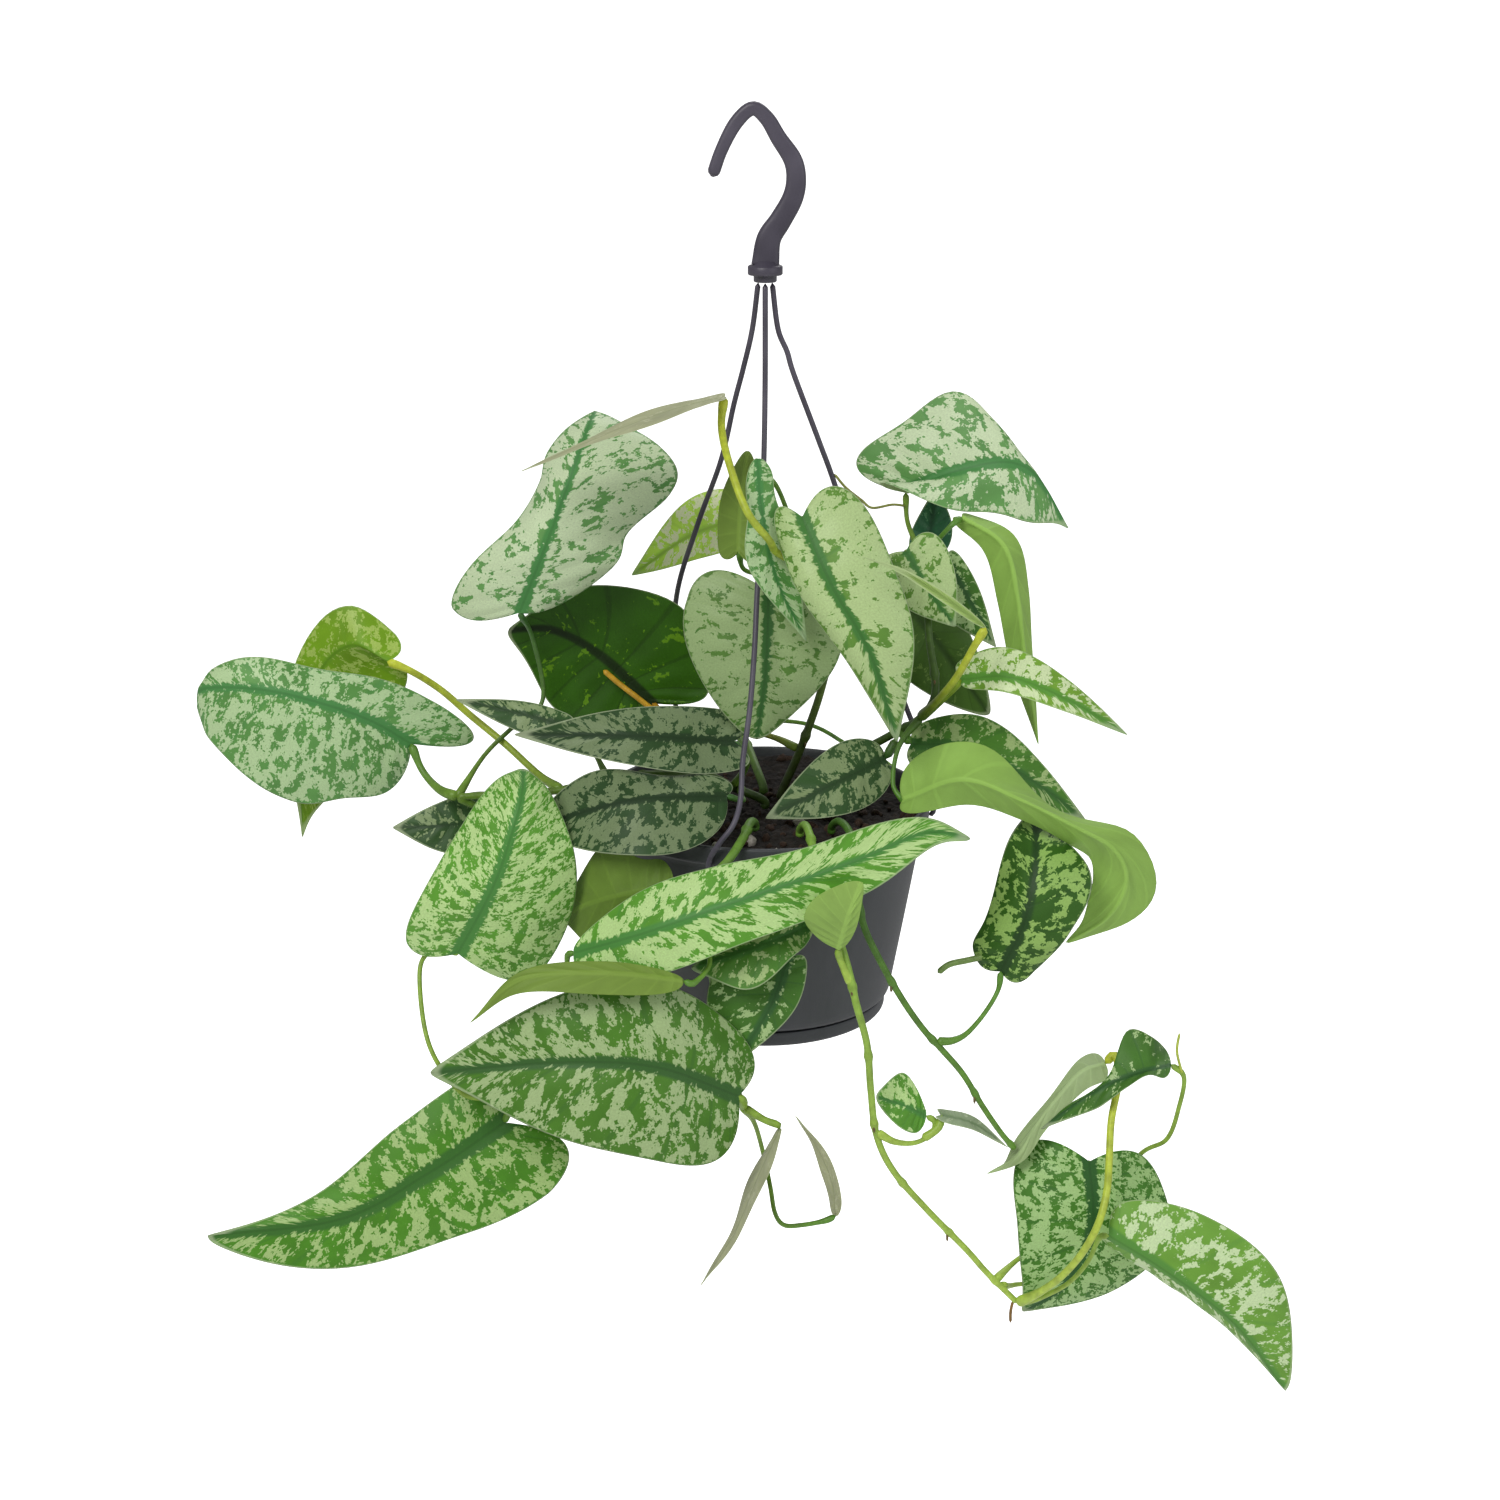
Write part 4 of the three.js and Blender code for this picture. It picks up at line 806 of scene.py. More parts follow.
        "left": [(-5, -10, -39), (0, -10, -40)], "right": [(-3, 12, 33), (0, 12, 40)],
        "lobes": (0.12, 0.3), "cup": 3, "stem": "vine_low",
        "stalk": [(-5, -97, -407), (-5, -92, -412)],
        "top": "satin", "cover": 0.48, "band": 4.0, "under": "sage", "stalk_shade": "light", "grain": 1.1,
    },
    "leaf_20": {
        "midrib": [(11, -95, -421), (1, -98, -444), (-9, -95, -472), (-24, -88, -501)],
        "left": [(3, -18, 8)], "right": [(-3, 18, -8)],
        "lobes": (0.05, 0.05), "stem": "vine_low",
        "stalk": [(10, -95, -419), (4, -94, -417), (-5, -92, -412)],
        "top": "edge", "cover": 0.1, "band": 1.0, "under": "beige", "stalk_shade": "light",
    },
    "leaf_21": {
        "midrib": [(36, -85, -468), (34, -85, -451), (27, -82, -435), (18, -80, -422)],
        "left": [(-3, 12, -6)], "right": [(3, -12, 6)],
        "lobes": (0.05, 0.05), "stem": "vine_low",
        "stalk": [
            (31, -86, -470), (21, -88, -471), (13, -88, -471), (9, -86, -466), (7, -79, -457),
            (4, -69, -446), (0, -77, -427), (-5, -92, -412),
        ],
        "top": "edge", "cover": 0.1, "band": 1.0, "under": "beige", "stalk_shade": "green",
    },
    "leaf_22": {
        "midrib": [(75, -84, -420), (65, -86, -414), (53, -84, -411)],
        "left": [(-1, -6, -9)], "right": [(0, 3, 5), (0, 6, 14), (0, 5, 10)],
        "lobes": (0, 0.1), "taper": 0.3, "stem": "vine_front",
        "stalk": [(79, -84, -423), (77, -86, -428), (70, -88, -431), (61, -91, -429), (53, -94, -423)],
        "top": "fresh", "cover": 0.5, "band": 2.0, "under": "sage", "stalk_shade": "light",
    },
    "leaf_23": {
        "midrib": [(82, -83, -420), (96, -86, -423), (111, -84, -435)],
        "left": [(1, 5, 1)], "right": [(-1, -5, -1)],
        "stem": "vine_front",
        "stalk": [(80, -86, -425), (73, -87, -430)],
        "top": "greyed", "cover": 0.1, "band": 1.0, "under": "grey", "stalk_shade": "light",
    },
    "leaf_24": {
        "midrib": [
            (156, -60, -406), (145, -64, -408), (135, -66, -419), (126, -68, -431), (117, -70, -446),
            (104, -70, -455),
        ],
        "left": [(-1, 26, 0), (-4, 5, -2), (-7, 6, -8), (-9, 9, -10), (-5, 5, -6)],
        "right": [(3, -17, -6), (3, -5, -5), (2, -6, -3), (3, -6, -3), (2, -4, -2)],
        "lobes": (0.05, 0.05), "taper": 0.3, "stem": "vine_front",
        "stalk": [
            (160, -60, -402), (161, -68, -410), (157, -78, -425), (155, -90, -439), (153, -100, -449),
            (149, -106, -461), (143, -104, -476), (135, -98, -491), (127, -90, -503), (118, -82, -513),
        ],
        "top": "mid", "cover": 0.3, "band": 1.0, "under": "sage", "stalk_shade": "yellow",
    },
    "leaf_25": {
        "midrib": [(183, -72, -401), (161, -76, -406), (145, -76, -415), (127, -72, -432)],
        "left": [
            (-2, -17, -6), (1, -7, 1), (1, -6, -2), (3, -6, -4), (7, -6, -3), (5, -4, -3), (3, -2, -2),
        ],
        "right": [(8, 50, -9), (6, 14, 12), (3, 14, 17), (5, 5, 5), (6, 5, 3), (5, 4, 6), (3, 2, 4)],
        "lobes": (0.02, 0.02), "taper": 0.3, "stem": "vine_front",
        "stalk": [
            (189, -72, -407), (188, -70, -422), (184, -66, -440), (173, -56, -454), (158, -50, -489),
            (136, -55, -514), (118, -66, -513), (111, -81, -505),
        ],
        "top": "dim", "cover": 0.15, "band": 2.0, "under": "grey", "stalk_shade": "light",
    },
    "leaf_26": {
        "midrib": [(35, -103, -334), (39, -112, -315), (44, -114, -300)],
        "left": [(5, 0, 0)], "right": [(-17, -2, 7)],
        "lobes": (0, 0), "taper": 0.2, "stem": "vine_front",
        "stalk": [(36, -100, -340), (41, -99, -352)],
        "top": "glow", "cover": 0.3, "band": 1.0, "under": "leek", "stalk_shade": "light",
    },
    "leaf_27": {
        "midrib": [(149, -72, -448), (150, -82, -474), (140, -82, -502), (122, -74, -522)],
        "left": [(36, 8, -15)], "right": [(-34, 8, -5)],
        "lobes": (0.4, 0.4), "cup": 3, "stem": "vine_front",
        "stalk": [(148, -62, -462), (137, -60, -488), (118, -68, -500), (108, -81, -502)],
        "top": "heart", "cover": 0.55, "band": 3.5, "under": "sage", "stalk_shade": "green", "grain": 1.7,
    },
    "leaf_28": {
        "midrib": [(155, -100, -470), (179, -110, -482), (209, -114, -505), (235, -108, -542)],
        "left": [(13, 8, 20), (34, 8, 31)], "right": [(1, 18, -14)],
        "lobes": (0.2, 0.2), "cup": 2, "taper": 0.6, "stem": "vine_front",
        "stalk": [(151, -98, -472), (147, -95, -485), (139, -90, -499), (128, -84, -509), (118, -82, -513)],
        "top": "spring", "cover": 0.46, "band": 4.0, "under": "light", "stalk_shade": "light",
    },
    "leaf_29": {
        "midrib": [(67, 12, -163), (88, 4, -152), (111, 0, -147), (125, 2, -155), (139, 8, -178)],
        "left": [(-24, 14, 16), (-22, 16, 19), (-24, 17, 35), (-31, 11, 35), (-19, 7, 21)],
        "right": [(-20, -10, 10), (-8, -7, -13), (-9, -5, -25), (-9, -6, -32), (-5, -4, -19)],
        "lobes": (0.3, 0.15), "cup": 2, "stem": "crown_right",
        "stalk": [(68, 14, -176), (72, 12, -187), (74, 6, -197)],
        "top": "frost", "cover": 0.56, "band": 4.5, "under": "sage", "stalk_shade": "light",
    },
    "leaf_30": {
        "midrib": [(77, 24, -194), (80, 26, -178), (81, 28, -165)],
        "left": [(-8, 4, 1)], "right": [(11, 4, 1)],
        "stem": "crown_right",
        "stalk": [(76, 14, -196), (74, 6, -197)],
        "top": "teal", "cover": 0.05, "band": 2.0, "under": "olive", "stalk_shade": "green",
    },
    "leaf_31": {
        "midrib": [(91, -2, -171), (109, -10, -182), (116, -10, -206), (121, -4, -238), (129, 6, -278)],
        "left": [(-9, 8, -4)], "right": [(6, 10, 2)],
        "lobes": (0.1, 0.1), "stem": "crown_right",
        "stalk": [(86, -6, -174), (80, -3, -182), (77, 2, -190), (74, 6, -197)],
        "top": "plain", "cover": 0.05, "band": 2.0, "under": "light", "stalk_shade": "green",
    },
    "leaf_32": {
        "midrib": [(66, -12, -184), (76, -18, -200), (88, -16, -217)],
        "left": [(14, 5, 8)], "right": [(-13, 0, -9)],
        "stem": "crown_right",
        "stalk": [(69, -2, -190), (74, 6, -197)],
        "top": "sage", "cover": 0.7, "band": 2.0, "under": "sage", "stalk_shade": "light",
    },
    "leaf_33": {
        "midrib": [(85, 0, -191), (96, 4, -210), (108, 2, -231)],
        "left": [(6, 2, 3)], "right": [(-13, 0, -8)],
        "lobes": (0.3, 0.03), "stem": "crown_right",
        "stalk": [(81, 6, -191), (74, 6, -197)],
        "top": "dim", "cover": 0.5, "band": 2.0, "under": "sage", "stalk_shade": "light", "grain": 1.3,
    },
    "leaf_34": {
        "midrib": [(91, -20, -240), (111, -34, -235), (137, -36, -245), (164, -28, -263)],
        "left": [(1, 12, 10)], "right": [(-2, -4, -6)],
        "lobes": (0.2, 0.05), "stem": "crown_right",
        "stalk": [(84, -20, -248), (74, -14, -259)],
        "top": "bright", "cover": 0.6, "band": 3.0, "under": "sage", "stalk_shade": "sheath",
    },
    "leaf_35": {
        "midrib": [(70, -12, -272), (98, -20, -272), (127, -20, -289), (149, -16, -307)],
        "left": [(4, 12, 12)], "right": [(-4, -8, -14)],
        "lobes": (0.1, 0.1), "stem": "crown_right",
        "stalk": [(65, -4, -268)],
        "top": "mid", "cover": 0.45, "band": 3.0, "under": "grey", "stalk_shade": "green",
    },
    "leaf_36": {
        "midrib": [(59, -6, -281), (34, -20, -289), (5, -30, -301)],
        "left": [(6, -8, -13)], "right": [(-6, 10, 12)],
        "lobes": (0.1, 0.1), "stem": "crown_right",
        "stalk": [(64, -4, -272)],
        "top": "shade", "cover": 0.5, "band": 3.0, "under": "grey", "stalk_shade": "dark",
    },
    "leaf_37": {
        "midrib": [
            (65, -40, -289), (89, -54, -275), (114, -60, -282), (140, -58, -296), (157, -52, -308),
            (164, -46, -325), (157, -42, -343), (140, -36, -358),
        ],
        "left": [(0, 0, -13), (4, 8, -15), (1, 10, -13), (-8, 13, -11), (-25, 8, -5), (-14, 4, -2)],
        "right": [(0, 14, 25), (9, 16, 11), (8, 18, -5), (15, 17, 0), (23, 14, -12), (14, 8, -7)],
        "lobes": (0.1, 0.1), "taper": 0.3, "stem": "crown_right",
        "stalk": [(65, -37, -290), (61, -32, -284), (64, -22, -270), (74, -14, -259)],
        "top": "mid", "cover": 0.5, "band": 3.0, "under": "light", "stalk_shade": "green",
    },
    "leaf_38": {
        "midrib": [(108, -62, -361), (117, -68, -335), (122, -58, -312), (124, -32, -297)],
        "left": [(-15, 17, 3), (-16, 16, -5), (-20, 18, -7), (-26, 12, -3)],
        "right": [(17, 2, -1), (21, 2, -6), (34, 1, -5), (18, 8, 0)],
        "lobes": (0.2, 0.3), "cup": 2, "taper": 0.5, "stem": "vine_right",
        "stalk": [(107, -62, -370), (101, -68, -378), (93, -74, -385), (86, -80, -386), (79, -83, -385)],
        "top": "dusk_painted_shade", "cover": 0.5, "band": 3.0, "under": "sage", "stalk_shade": "green",
    },
    "leaf_39": {
        "midrib": [(-35, -79, -316), (-49, -76, -318), (-67, -69, -325), (-85, -54, -338)],
        "left": [(-1, 12, 13), (7, 2, 15), (4, 5, 31), (2, 3, 19)],
        "right": [(-1, -7, -30), (5, -4, -17), (3, 0, -28), (2, 0, -17)],
        "lobes": (0.1, 0.1), "taper": 0.3, "stem": "vine_low",
        "stalk": [(-33, -84, -319), (-29, -88, -321)],
        "top": "oliveleaf", "cover": 0.06, "band": 2.0, "under": "moss", "stalk_shade": "green",
    },
    "leaf_41": {
        "midrib": [(-30, -109, -346), (-64, -115, -340), (-98, -115, -343), (-120, -109, -365)],
        "left": [(0, 4, 4)], "right": [(0, -7, -7)],
        "lobes": (0.03, 0.03), "stem": "vine_low",
        "stalk": [(-25, -108, -347), (-19, -98, -340), (-29, -88, -321)],
        "top": "strip", "cover": 0.12, "band": 2.0, "under": "olive", "stalk_shade": "green",
    },
    "leaf_42": {
        "midrib": [(-84, -16, -262), (-108, -12, -257), (-133, -10, -252)],
        "left": [(0, -5, -8)], "right": [(0, 5, 5)],
        "stem": "crown_left",
        "stalk": [(-74, -10, -273), (-64, -32, -283)],
        "top": "shade", "cover": 0.45, "band": 2.0, "under": "grey", "stalk_shade": "dark",
    },
    "leaf_43": {
        "midrib": [(-44, 80, -318), (-58, 98, -352), (-72, 108, -396)],
        "left": [(-22, 10, 2)], "right": [(22, 0, -5)],
        "lobes": (0.1, 0.1), "cup": 2, "stem": "crown_back",
        "stalk": [(-42, 74, -308), (-44, 62, -294), (-36, 50, -281), (-9, 73, -286)],
        "top": "mid", "cover": 0.55, "band": 3.0, "under": "sage", "stalk_shade": "green",
    },
    "leaf_44": {
        "midrib": [(-4, 92, -308), (-7, 124, -363), (-15, 130, -419)],
        "left": [(-30, -6, 2)], "right": [(30, -6, 2)],
        "lobes": (0.1, 0.1), "cup": 2, "stem": "crown_back",
        "stalk": [(-6, 86, -303), (-9, 79, -293), (-9, 73, -286)],
        "top": "fresh", "cover": 0.55, "band": 4.0, "under": "sage", "stalk_shade": "green",
    },
    "leaf_45": {
        "midrib": [(48, 89, -308), (57, 112, -356), (64, 118, -406)],
        "left": [(-28, -4, 1)], "right": [(27, -6, -1)],
        "lobes": (0.1, 0.1), "cup": 2, "stem": "crown_back",
        "stalk": [(42, 83, -300), (24, 79, -290), (-9, 73, -286)],
        "top": "mid", "cover": 0.5, "band": 3.5, "under": "light", "stalk_shade": "green",
    },
    "leaf_48": {
        "midrib": [(68, 19, -214), (87, 26, -240), (108, 24, -269)],
        "left": [(13, 4, 8)], "right": [(-18, 0, -15)],
        "lobes": (0.1, 0.1), "cup": 2, "taper": 0.5, "stem": "crown_right",
        "stalk": [(69, 15, -207), (71, 10, -201), (74, 6, -197)],
        "top": "oliveleaf", "cover": 0.06, "band": 2.0, "under": "moss", "stalk_shade": "light",
    },
    "leaf_49": {
        "midrib": [(98, -52, -208), (77, -66, -190), (60, -74, -178), (44, -74, -172)],
        "left": [(-1, 0, -2)], "right": [(1, 0, 2)],
        "lobes": (0, 0), "stem": "crown_right",
        "stalk": [(94, -50, -216), (87, -46, -231), (81, -36, -243), (74, -14, -259)],
        "top": "plain", "cover": 0.2, "band": 1.0, "under": "pale", "stalk_shade": "yellow",
    },
}
# Upper sides: the tissue between the blotches, the silver, and the band along the midrib
TOPS = {
    "fresh": ("#5c9b30", "#bcdc92", "#4d8c3e"),
    "frost": ("#659a54", "#c8dab2", "#4b8a48"),
    "bright": ("#7aaa36", "#d6e8b4", "#5f9c3a"),
    "cool": ("#5b9348", "#b4d09c", "#4b8a48"),
    "mid": ("#4f832c", "#a6c07e", "#3d702c"),
    # painted shade: a darker copy of the greens, for leaves that lie in shade
    "shade": ("#35572a", "#869a6c", "#2c4a24"),
    # painted shade: darker still, for leaves deep in the shade of others
    "deep": ("#2c4a24", "#748660", "#243c20"),
    "dim": ("#467628", "#a9c688", "#376430"),
    # painted shade: a darker copy of the greens, for a leaf in shade
    "dusk_painted_shade": ("#346018", "#94ba62", "#24481a"),
    "lime": ("#74a016", "#a3bf5a", "#6a9a1a"),
    # painted light: bright yellow-greens for light shining through a thin leaf that lies in shade
    "glow": ("#d0fa66", "#f8ffd4", "#b4e25c"),
    "olive": ("#567926", "#7f9a46", "#4a6b1c"),
    "oliveleaf": ("#4c7026", "#6c8c40", "#3c5c1e"),
    # painted light and shade: saturated dark greens of a leaf in shade with light showing through it from
    # behind
    "painted_backlight": ("#305e04", "#5f8e12", "#162e04"),
    "sage": ("#628f38", "#b2ca8c", "#427a34"),
    # painted shade: the sage greens darkened, for a leaf in shade
    "sage_painted_shade": ("#547c34", "#94ac76", "#38682e"),
    "edge": ("#adb288", "#bcc09a", "#a0a878"),
    "greyed": ("#92a582", "#a8b896", "#7c946c"),
    "plain": ("#b0cc78", "#c0d68c", "#98b860"),
    "strip": ("#8ea868", "#a2b67c", "#7c9656"),
    "teal": ("#2c6646", "#5a8c6a", "#24523a"),
    "leafy": ("#4c8a1e", "#a6c47c", "#3a6f28"),
    "satin": ("#4a7c22", "#a4bc84", "#38642a"),
    "heart": ("#467e24", "#a8cc86", "#30612a"),
    "spring": ("#70a43c", "#cde4b0", "#5a943e"),
}
UNDERSIDES = {
    "sage": "#a3ba84", "beige": "#b5b88c", "olive": "#76923c", "light": "#93bb58", "pale": "#c3d690",
    "grey": "#93a57c", "moss": "#66832f", "leek": "#8fb257",
}
ROWS, COLUMNS = 64, 12  # rows follow the side veins; columns run from midrib to margin
LOBE, TAPER = 0.3, 0.75
THICKNESS = 0.5
RIM_COLUMN = 0.985  # the last column but one lies just inside the margin
SIDE_VEINS = 9
QUILT = 0.24  # swelling between two side veins
GROOVE, RIB, RIB_WIDTH, RIB_FADING = 0.3, 0.75, 1.2, 0.75
WAVE, WAVES = 0.035, 2.6  # height of the margin's waves, in half-widths, and their number
PALE_EDGE = 0.45  # strength of the pale line along the margin
LEAF_SHIFT = 300  # keeps the blotches of two leaves from being alike
MIDRIB_POINTS, WIDTH_POINTS = 400, 200
leaf_random = np.random.default_rng(11)


def pick(values, places, at):
    """Values given at rising places, read off at other places, one coordinate at a time."""
    return np.stack([np.interp(at, places, values[:, k]) for k in range(3)], -1)


def leaf_side(leaf, widths, lobe, sign, phase):
    """One half of a blade on a grid of t (rows, base to tip) and s (columns, midrib to margin).

    The margin is at along = (1 - cos pi t)/2 - lobe sin pi t (1 + cos pi t)/2 of the midrib's length, and
    out = sin pi t (1 + 0.2 cos pi t)/1.02 (1 - taper along^3) half-widths from it. A point lies at
    place = (1 - s) t^1.8 + s along, at midrib(place) + s out half(place), raised by cup sin pi s out, by
    quilt sin pi s cos 2 pi veins t, and near the margin by wave s^3 sin 2 pi waves t of its reach.
    """
    t = np.linspace(0, 1, ROWS + 1)[:, None]
    s = np.append(np.linspace(0, RIM_COLUMN, COLUMNS), 1)[None]
    sine, cosine = np.sin(np.pi * t), np.cos(np.pi * t)
    along = (1 - cosine) / 2 - lobe * sine * (1 + cosine) / 2
    out = sine * (1 + 0.2 * cosine) / 1.02 * (1 - leaf.get("taper", TAPER) * np.maximum(along, 0) ** 3)
    place = (1 - s) * t**1.8 + s * along
    line, length = by_length(smooth_line(leaf["midrib"], MIDRIB_POINTS), MIDRIB_POINTS)
    tangent = unit(np.gradient(line, axis=0))
    even = np.linspace(0, 1, MIDRIB_POINTS)
    inside = np.clip(place, 0, 1)
    ahead = pick(tangent, even, inside)
    if len(widths) > 1:
        spread = smooth_line(widths, WIDTH_POINTS)
    else:
        spread = np.tile(np.array(widths, float), (WIDTH_POINTS, 1))
    half = pick(spread, np.linspace(0, 1, WIDTH_POINTS), inside)
    up = unit(-sign * np.cross(ahead, half))
    reach = np.linalg.norm(half, axis=-1) * out
    rise = leaf.get("cup", 0) * np.sin(np.pi * s) * out
    rise = rise + QUILT * np.sin(np.pi * s) * np.minimum(out * 2, 1) * np.cos(2 * np.pi * SIDE_VEINS * t)
    rise = rise + WAVE * reach * s**3 * np.sin(2 * np.pi * WAVES * t + phase)
    point = pick(line, even, inside) + ahead * ((place - inside) * length)[..., None]
    point = point + half * (out * s)[..., None] + up * rise[..., None]
    vein = np.stack([sign * reach * s, (0.45 * t**1.8 + 0.55 * place) * length, reach * (1 - s)], -1)
    return point, up, vein, np.broadcast_to(s, reach.shape), np.broadcast_to(t, reach.shape)


def leaf_blade(leaf, number):
    """Closed blade: two sheets half a thickness above and below the surface, which meet at the margin.

    The upper sheet is sunk by a bell-shaped groove along the midrib and the lower one carries the rib. Both
    weaken towards the tip, and fade out at the margin and at both ends.
    """
    phase = leaf_random.uniform(0, 2 * np.pi, 2)
    lobes = leaf.get("lobes", (LOBE, LOBE))
    sides = [leaf_side(leaf, leaf["left"], lobes[0], -1, phase[0]),
             leaf_side(leaf, leaf["right"], lobes[1], 1, phase[1])]
    point, up, vein, s, t = (np.concatenate([a[:, :0:-1], b], axis=1) for a, b in zip(*sides))
    up[:, COLUMNS] = unit(up[:, COLUMNS - 1] + up[:, COLUMNS + 1])
    signed = np.concatenate([-sides[0][3][:, :0:-1], sides[1][3]], axis=1)
    bell = np.exp(-((vein[..., 0] / RIB_WIDTH) ** 2)) * (1 - RIB_FADING * t)
    depth = THICKNESS / 2 * np.sqrt(1 - s**2)
    inner = (1 - s**8) * np.minimum(np.sin(np.pi * t) * 4, 1)
    top = point + up * (depth - GROOVE * bell * inner)[..., None]
    low = point - up * (depth + RIB * bell * inner)[..., None]
    size = point.shape[0] * point.shape[1]
    above = np.arange(size).reshape(point.shape[:2])
    above[0], above[-1] = above[0, COLUMNS], above[-1, COLUMNS]
    below = np.arange(size, 2 * size).reshape(point.shape[:2])
    below[0], below[-1] = above[0], above[-1]
    below[:, 0], below[:, -1] = above[:, 0], above[:, -1]
    faces = []
    for sheet, turn in ((above, 1), (below, -1)):
        a, b, c, d = sheet[:-1, :-1], sheet[:-1, 1:], sheet[1:, 1:], sheet[1:, :-1]
        pair = np.stack([np.stack([a, b, c], -1), np.stack([a, c, d], -1)]).reshape(-1, 3)
        faces.append(pair[:, ::turn])
    under = np.repeat([0, 1], [len(faces[0]), len(faces[1])])
    faces = np.concatenate(faces)
    whole = (faces[:, 0] != faces[:, 1]) & (faces[:, 1] != faces[:, 2]) & (faces[:, 2] != faces[:, 0])
    kept, faces = np.unique(faces[whole], return_inverse=True)
    points = np.concatenate([top.reshape(-1, 3), low.reshape(-1, 3)])[kept]
    vein = vein + (0, number * LEAF_SHIFT, 0)
    uv = np.stack([0.5 + 0.5 * signed, t], -1).reshape(-1, 2)
    vein = np.tile(vein.reshape(-1, 3), (2, 1))[kept]
    return points, faces.reshape(-1, 3), under[whole], vein, np.tile(uv, (2, 1))[kept]


def vector_layer(piece, name, vectors):
    """Writes one vector per point (n, 3), or one for all, as the mesh attribute of that name."""
    full = np.broadcast_to(np.asarray(vectors, np.float32), (len(piece.data.vertices), 3))
    layer = piece.data.attributes.new(name, "FLOAT_VECTOR", "POINT")
    layer.data.foreach_set("vector", np.ascontiguousarray(full).ravel())


def maths(tree, operation, first, second=None, third=None):
    """The output of one Math node."""
    made = tree.nodes.new("ShaderNodeMath")
    made.operation = operation
    for socket, value in zip(made.inputs, (first, second, third)):
        if isinstance(value, bpy.types.NodeSocket):
            tree.links.new(value, socket)
        elif value is not None:
            socket.default_value = value
    return made.outputs[0]


def ramp(tree, value, low, high):
    """0 below low, 1 above high and smooth between."""
    made = node(tree, "MapRange", Value=value, From_Min=low, From_Max=high, interpolation_type="SMOOTHSTEP")
    return made.outputs["Result"]


def blend_colour(tree, share, first, second):
    """The first colour where share is 0 and the second where it is 1."""
    made = tree.nodes.new("ShaderNodeMix")
    made.data_type = "RGBA"
    for socket, value in ((made.inputs["Factor"], share), (made.inputs[6], first), (made.inputs[7], second)):
        if isinstance(value, bpy.types.NodeSocket):
            tree.links.new(value, socket)
        else:
            socket.default_value = value
    return made.outputs[2]


def attribute(tree, name, output="Color"):
    """An output of the mesh attribute of that name."""
    return node(tree, "Attribute", attribute_name=name).outputs[output]


def vein_places(tree):
    """Distance from the midrib, distance along it and distance to the margin, in millimetres."""
    split = node(tree, "SeparateXYZ", Vector=attribute(tree, "vein", "Vector"))
    return split.outputs["X"], split.outputs["Y"], split.outputs["Z"]


def vein_noise(tree, across, along, scale, stretch, detail, roughness=0.55, distortion=0.0):
    """Noise on the blade's own surface, with features of 1/scale mm, stretched along the side veins."""
    where = node(tree, "CombineXYZ", X=maths(tree, "MULTIPLY", across, scale / stretch),
                 Y=maths(tree, "MULTIPLY", along, scale))
    made = node(tree, "TexNoise", Vector=where.outputs["Vector"], Scale=1, Detail=detail,
                Roughness=roughness, Distortion=distortion)
    return made.outputs["Fac"]


def base_to_tip(tree):
    """0 at the blade's base and 1 at its tip."""
    return node(tree, "SeparateXYZ", Vector=node(tree, "UVMap", uv_map="surface").outputs["UV"]).outputs["Y"]


def side_veins(tree, tip_ward, thinness, strength):
    """A line along each side vein: where the cosine of its turns from base to tip falls below -thinness."""
    veined = maths(tree, "COSINE", maths(tree, "MULTIPLY", tip_ward, 2 * math.pi * SIDE_VEINS))
    return maths(tree, "MULTIPLY", ramp(tree, maths(tree, "MULTIPLY", veined, -1), thinness, 1), strength)


def skin_cells(tree):
    """Height of the fine cells that the skin is made of."""
    place = node(tree, "TexCoord").outputs["Object"]
    return node(tree, "TexNoise", Vector=place, Scale=1600, Detail=2).outputs["Fac"]


leaf_top, tree, surface = new_material("leaf_upper_side")
across, along, inward = vein_places(tree)
from_rib = maths(tree, "ABSOLUTE", across)
look = node(tree, "SeparateXYZ", Vector=attribute(tree, "look", "Vector"))
cover, band, grain = look.outputs["X"], look.outputs["Y"], look.outputs["Z"]
grain_across = maths(tree, "MULTIPLY", across, grain)
grain_along = maths(tree, "MULTIPLY", along, grain)
tip_ward = base_to_tip(tree)
band = maths(tree, "MULTIPLY", band, maths(tree, "MULTIPLY_ADD", tip_ward, -0.6, 1))
blotch = vein_noise(tree, grain_across, grain_along, 0.14, 1.5, 3, 0.6, 0.5)
crumb = vein_noise(tree, grain_across, grain_along, 0.42, 1.4, 2, 0.6)
speck = vein_noise(tree, across, along, 1.5, 1.2, 1)
mottled = maths(tree, "MULTIPLY_ADD", maths(tree, "SUBTRACT", crumb, 0.5), 0.55, blotch)
mottled = maths(tree, "MULTIPLY_ADD", maths(tree, "SUBTRACT", speck, 0.5), 0.18, mottled)
level = maths(tree, "MULTIPLY_ADD", cover, -0.36, 0.68)
silvered = ramp(tree, maths(tree, "SUBTRACT", mottled, level), -0.015, 0.02)
ragged = maths(tree, "MULTIPLY_ADD", maths(tree, "SUBTRACT", crumb, 0.5), 7, from_rib)
off_rib = ramp(tree, maths(tree, "SUBTRACT", ragged, band), -0.3, 0.7)
off_edge = ramp(tree, maths(tree, "MULTIPLY_ADD", maths(tree, "SUBTRACT", crumb, 0.5), 5, inward), 0.5, 1.3)
silvered = maths(tree, "MULTIPLY", maths(tree, "MULTIPLY", silvered, off_rib), off_edge)
cloudy = vein_noise(tree, across, along, 0.06, 1, 2)
tissue = node(tree, "HueSaturation", Color=attribute(tree, "tissue"),
              Value=maths(tree, "MULTIPLY_ADD", cloudy, 0.7, 0.65)).outputs["Color"]
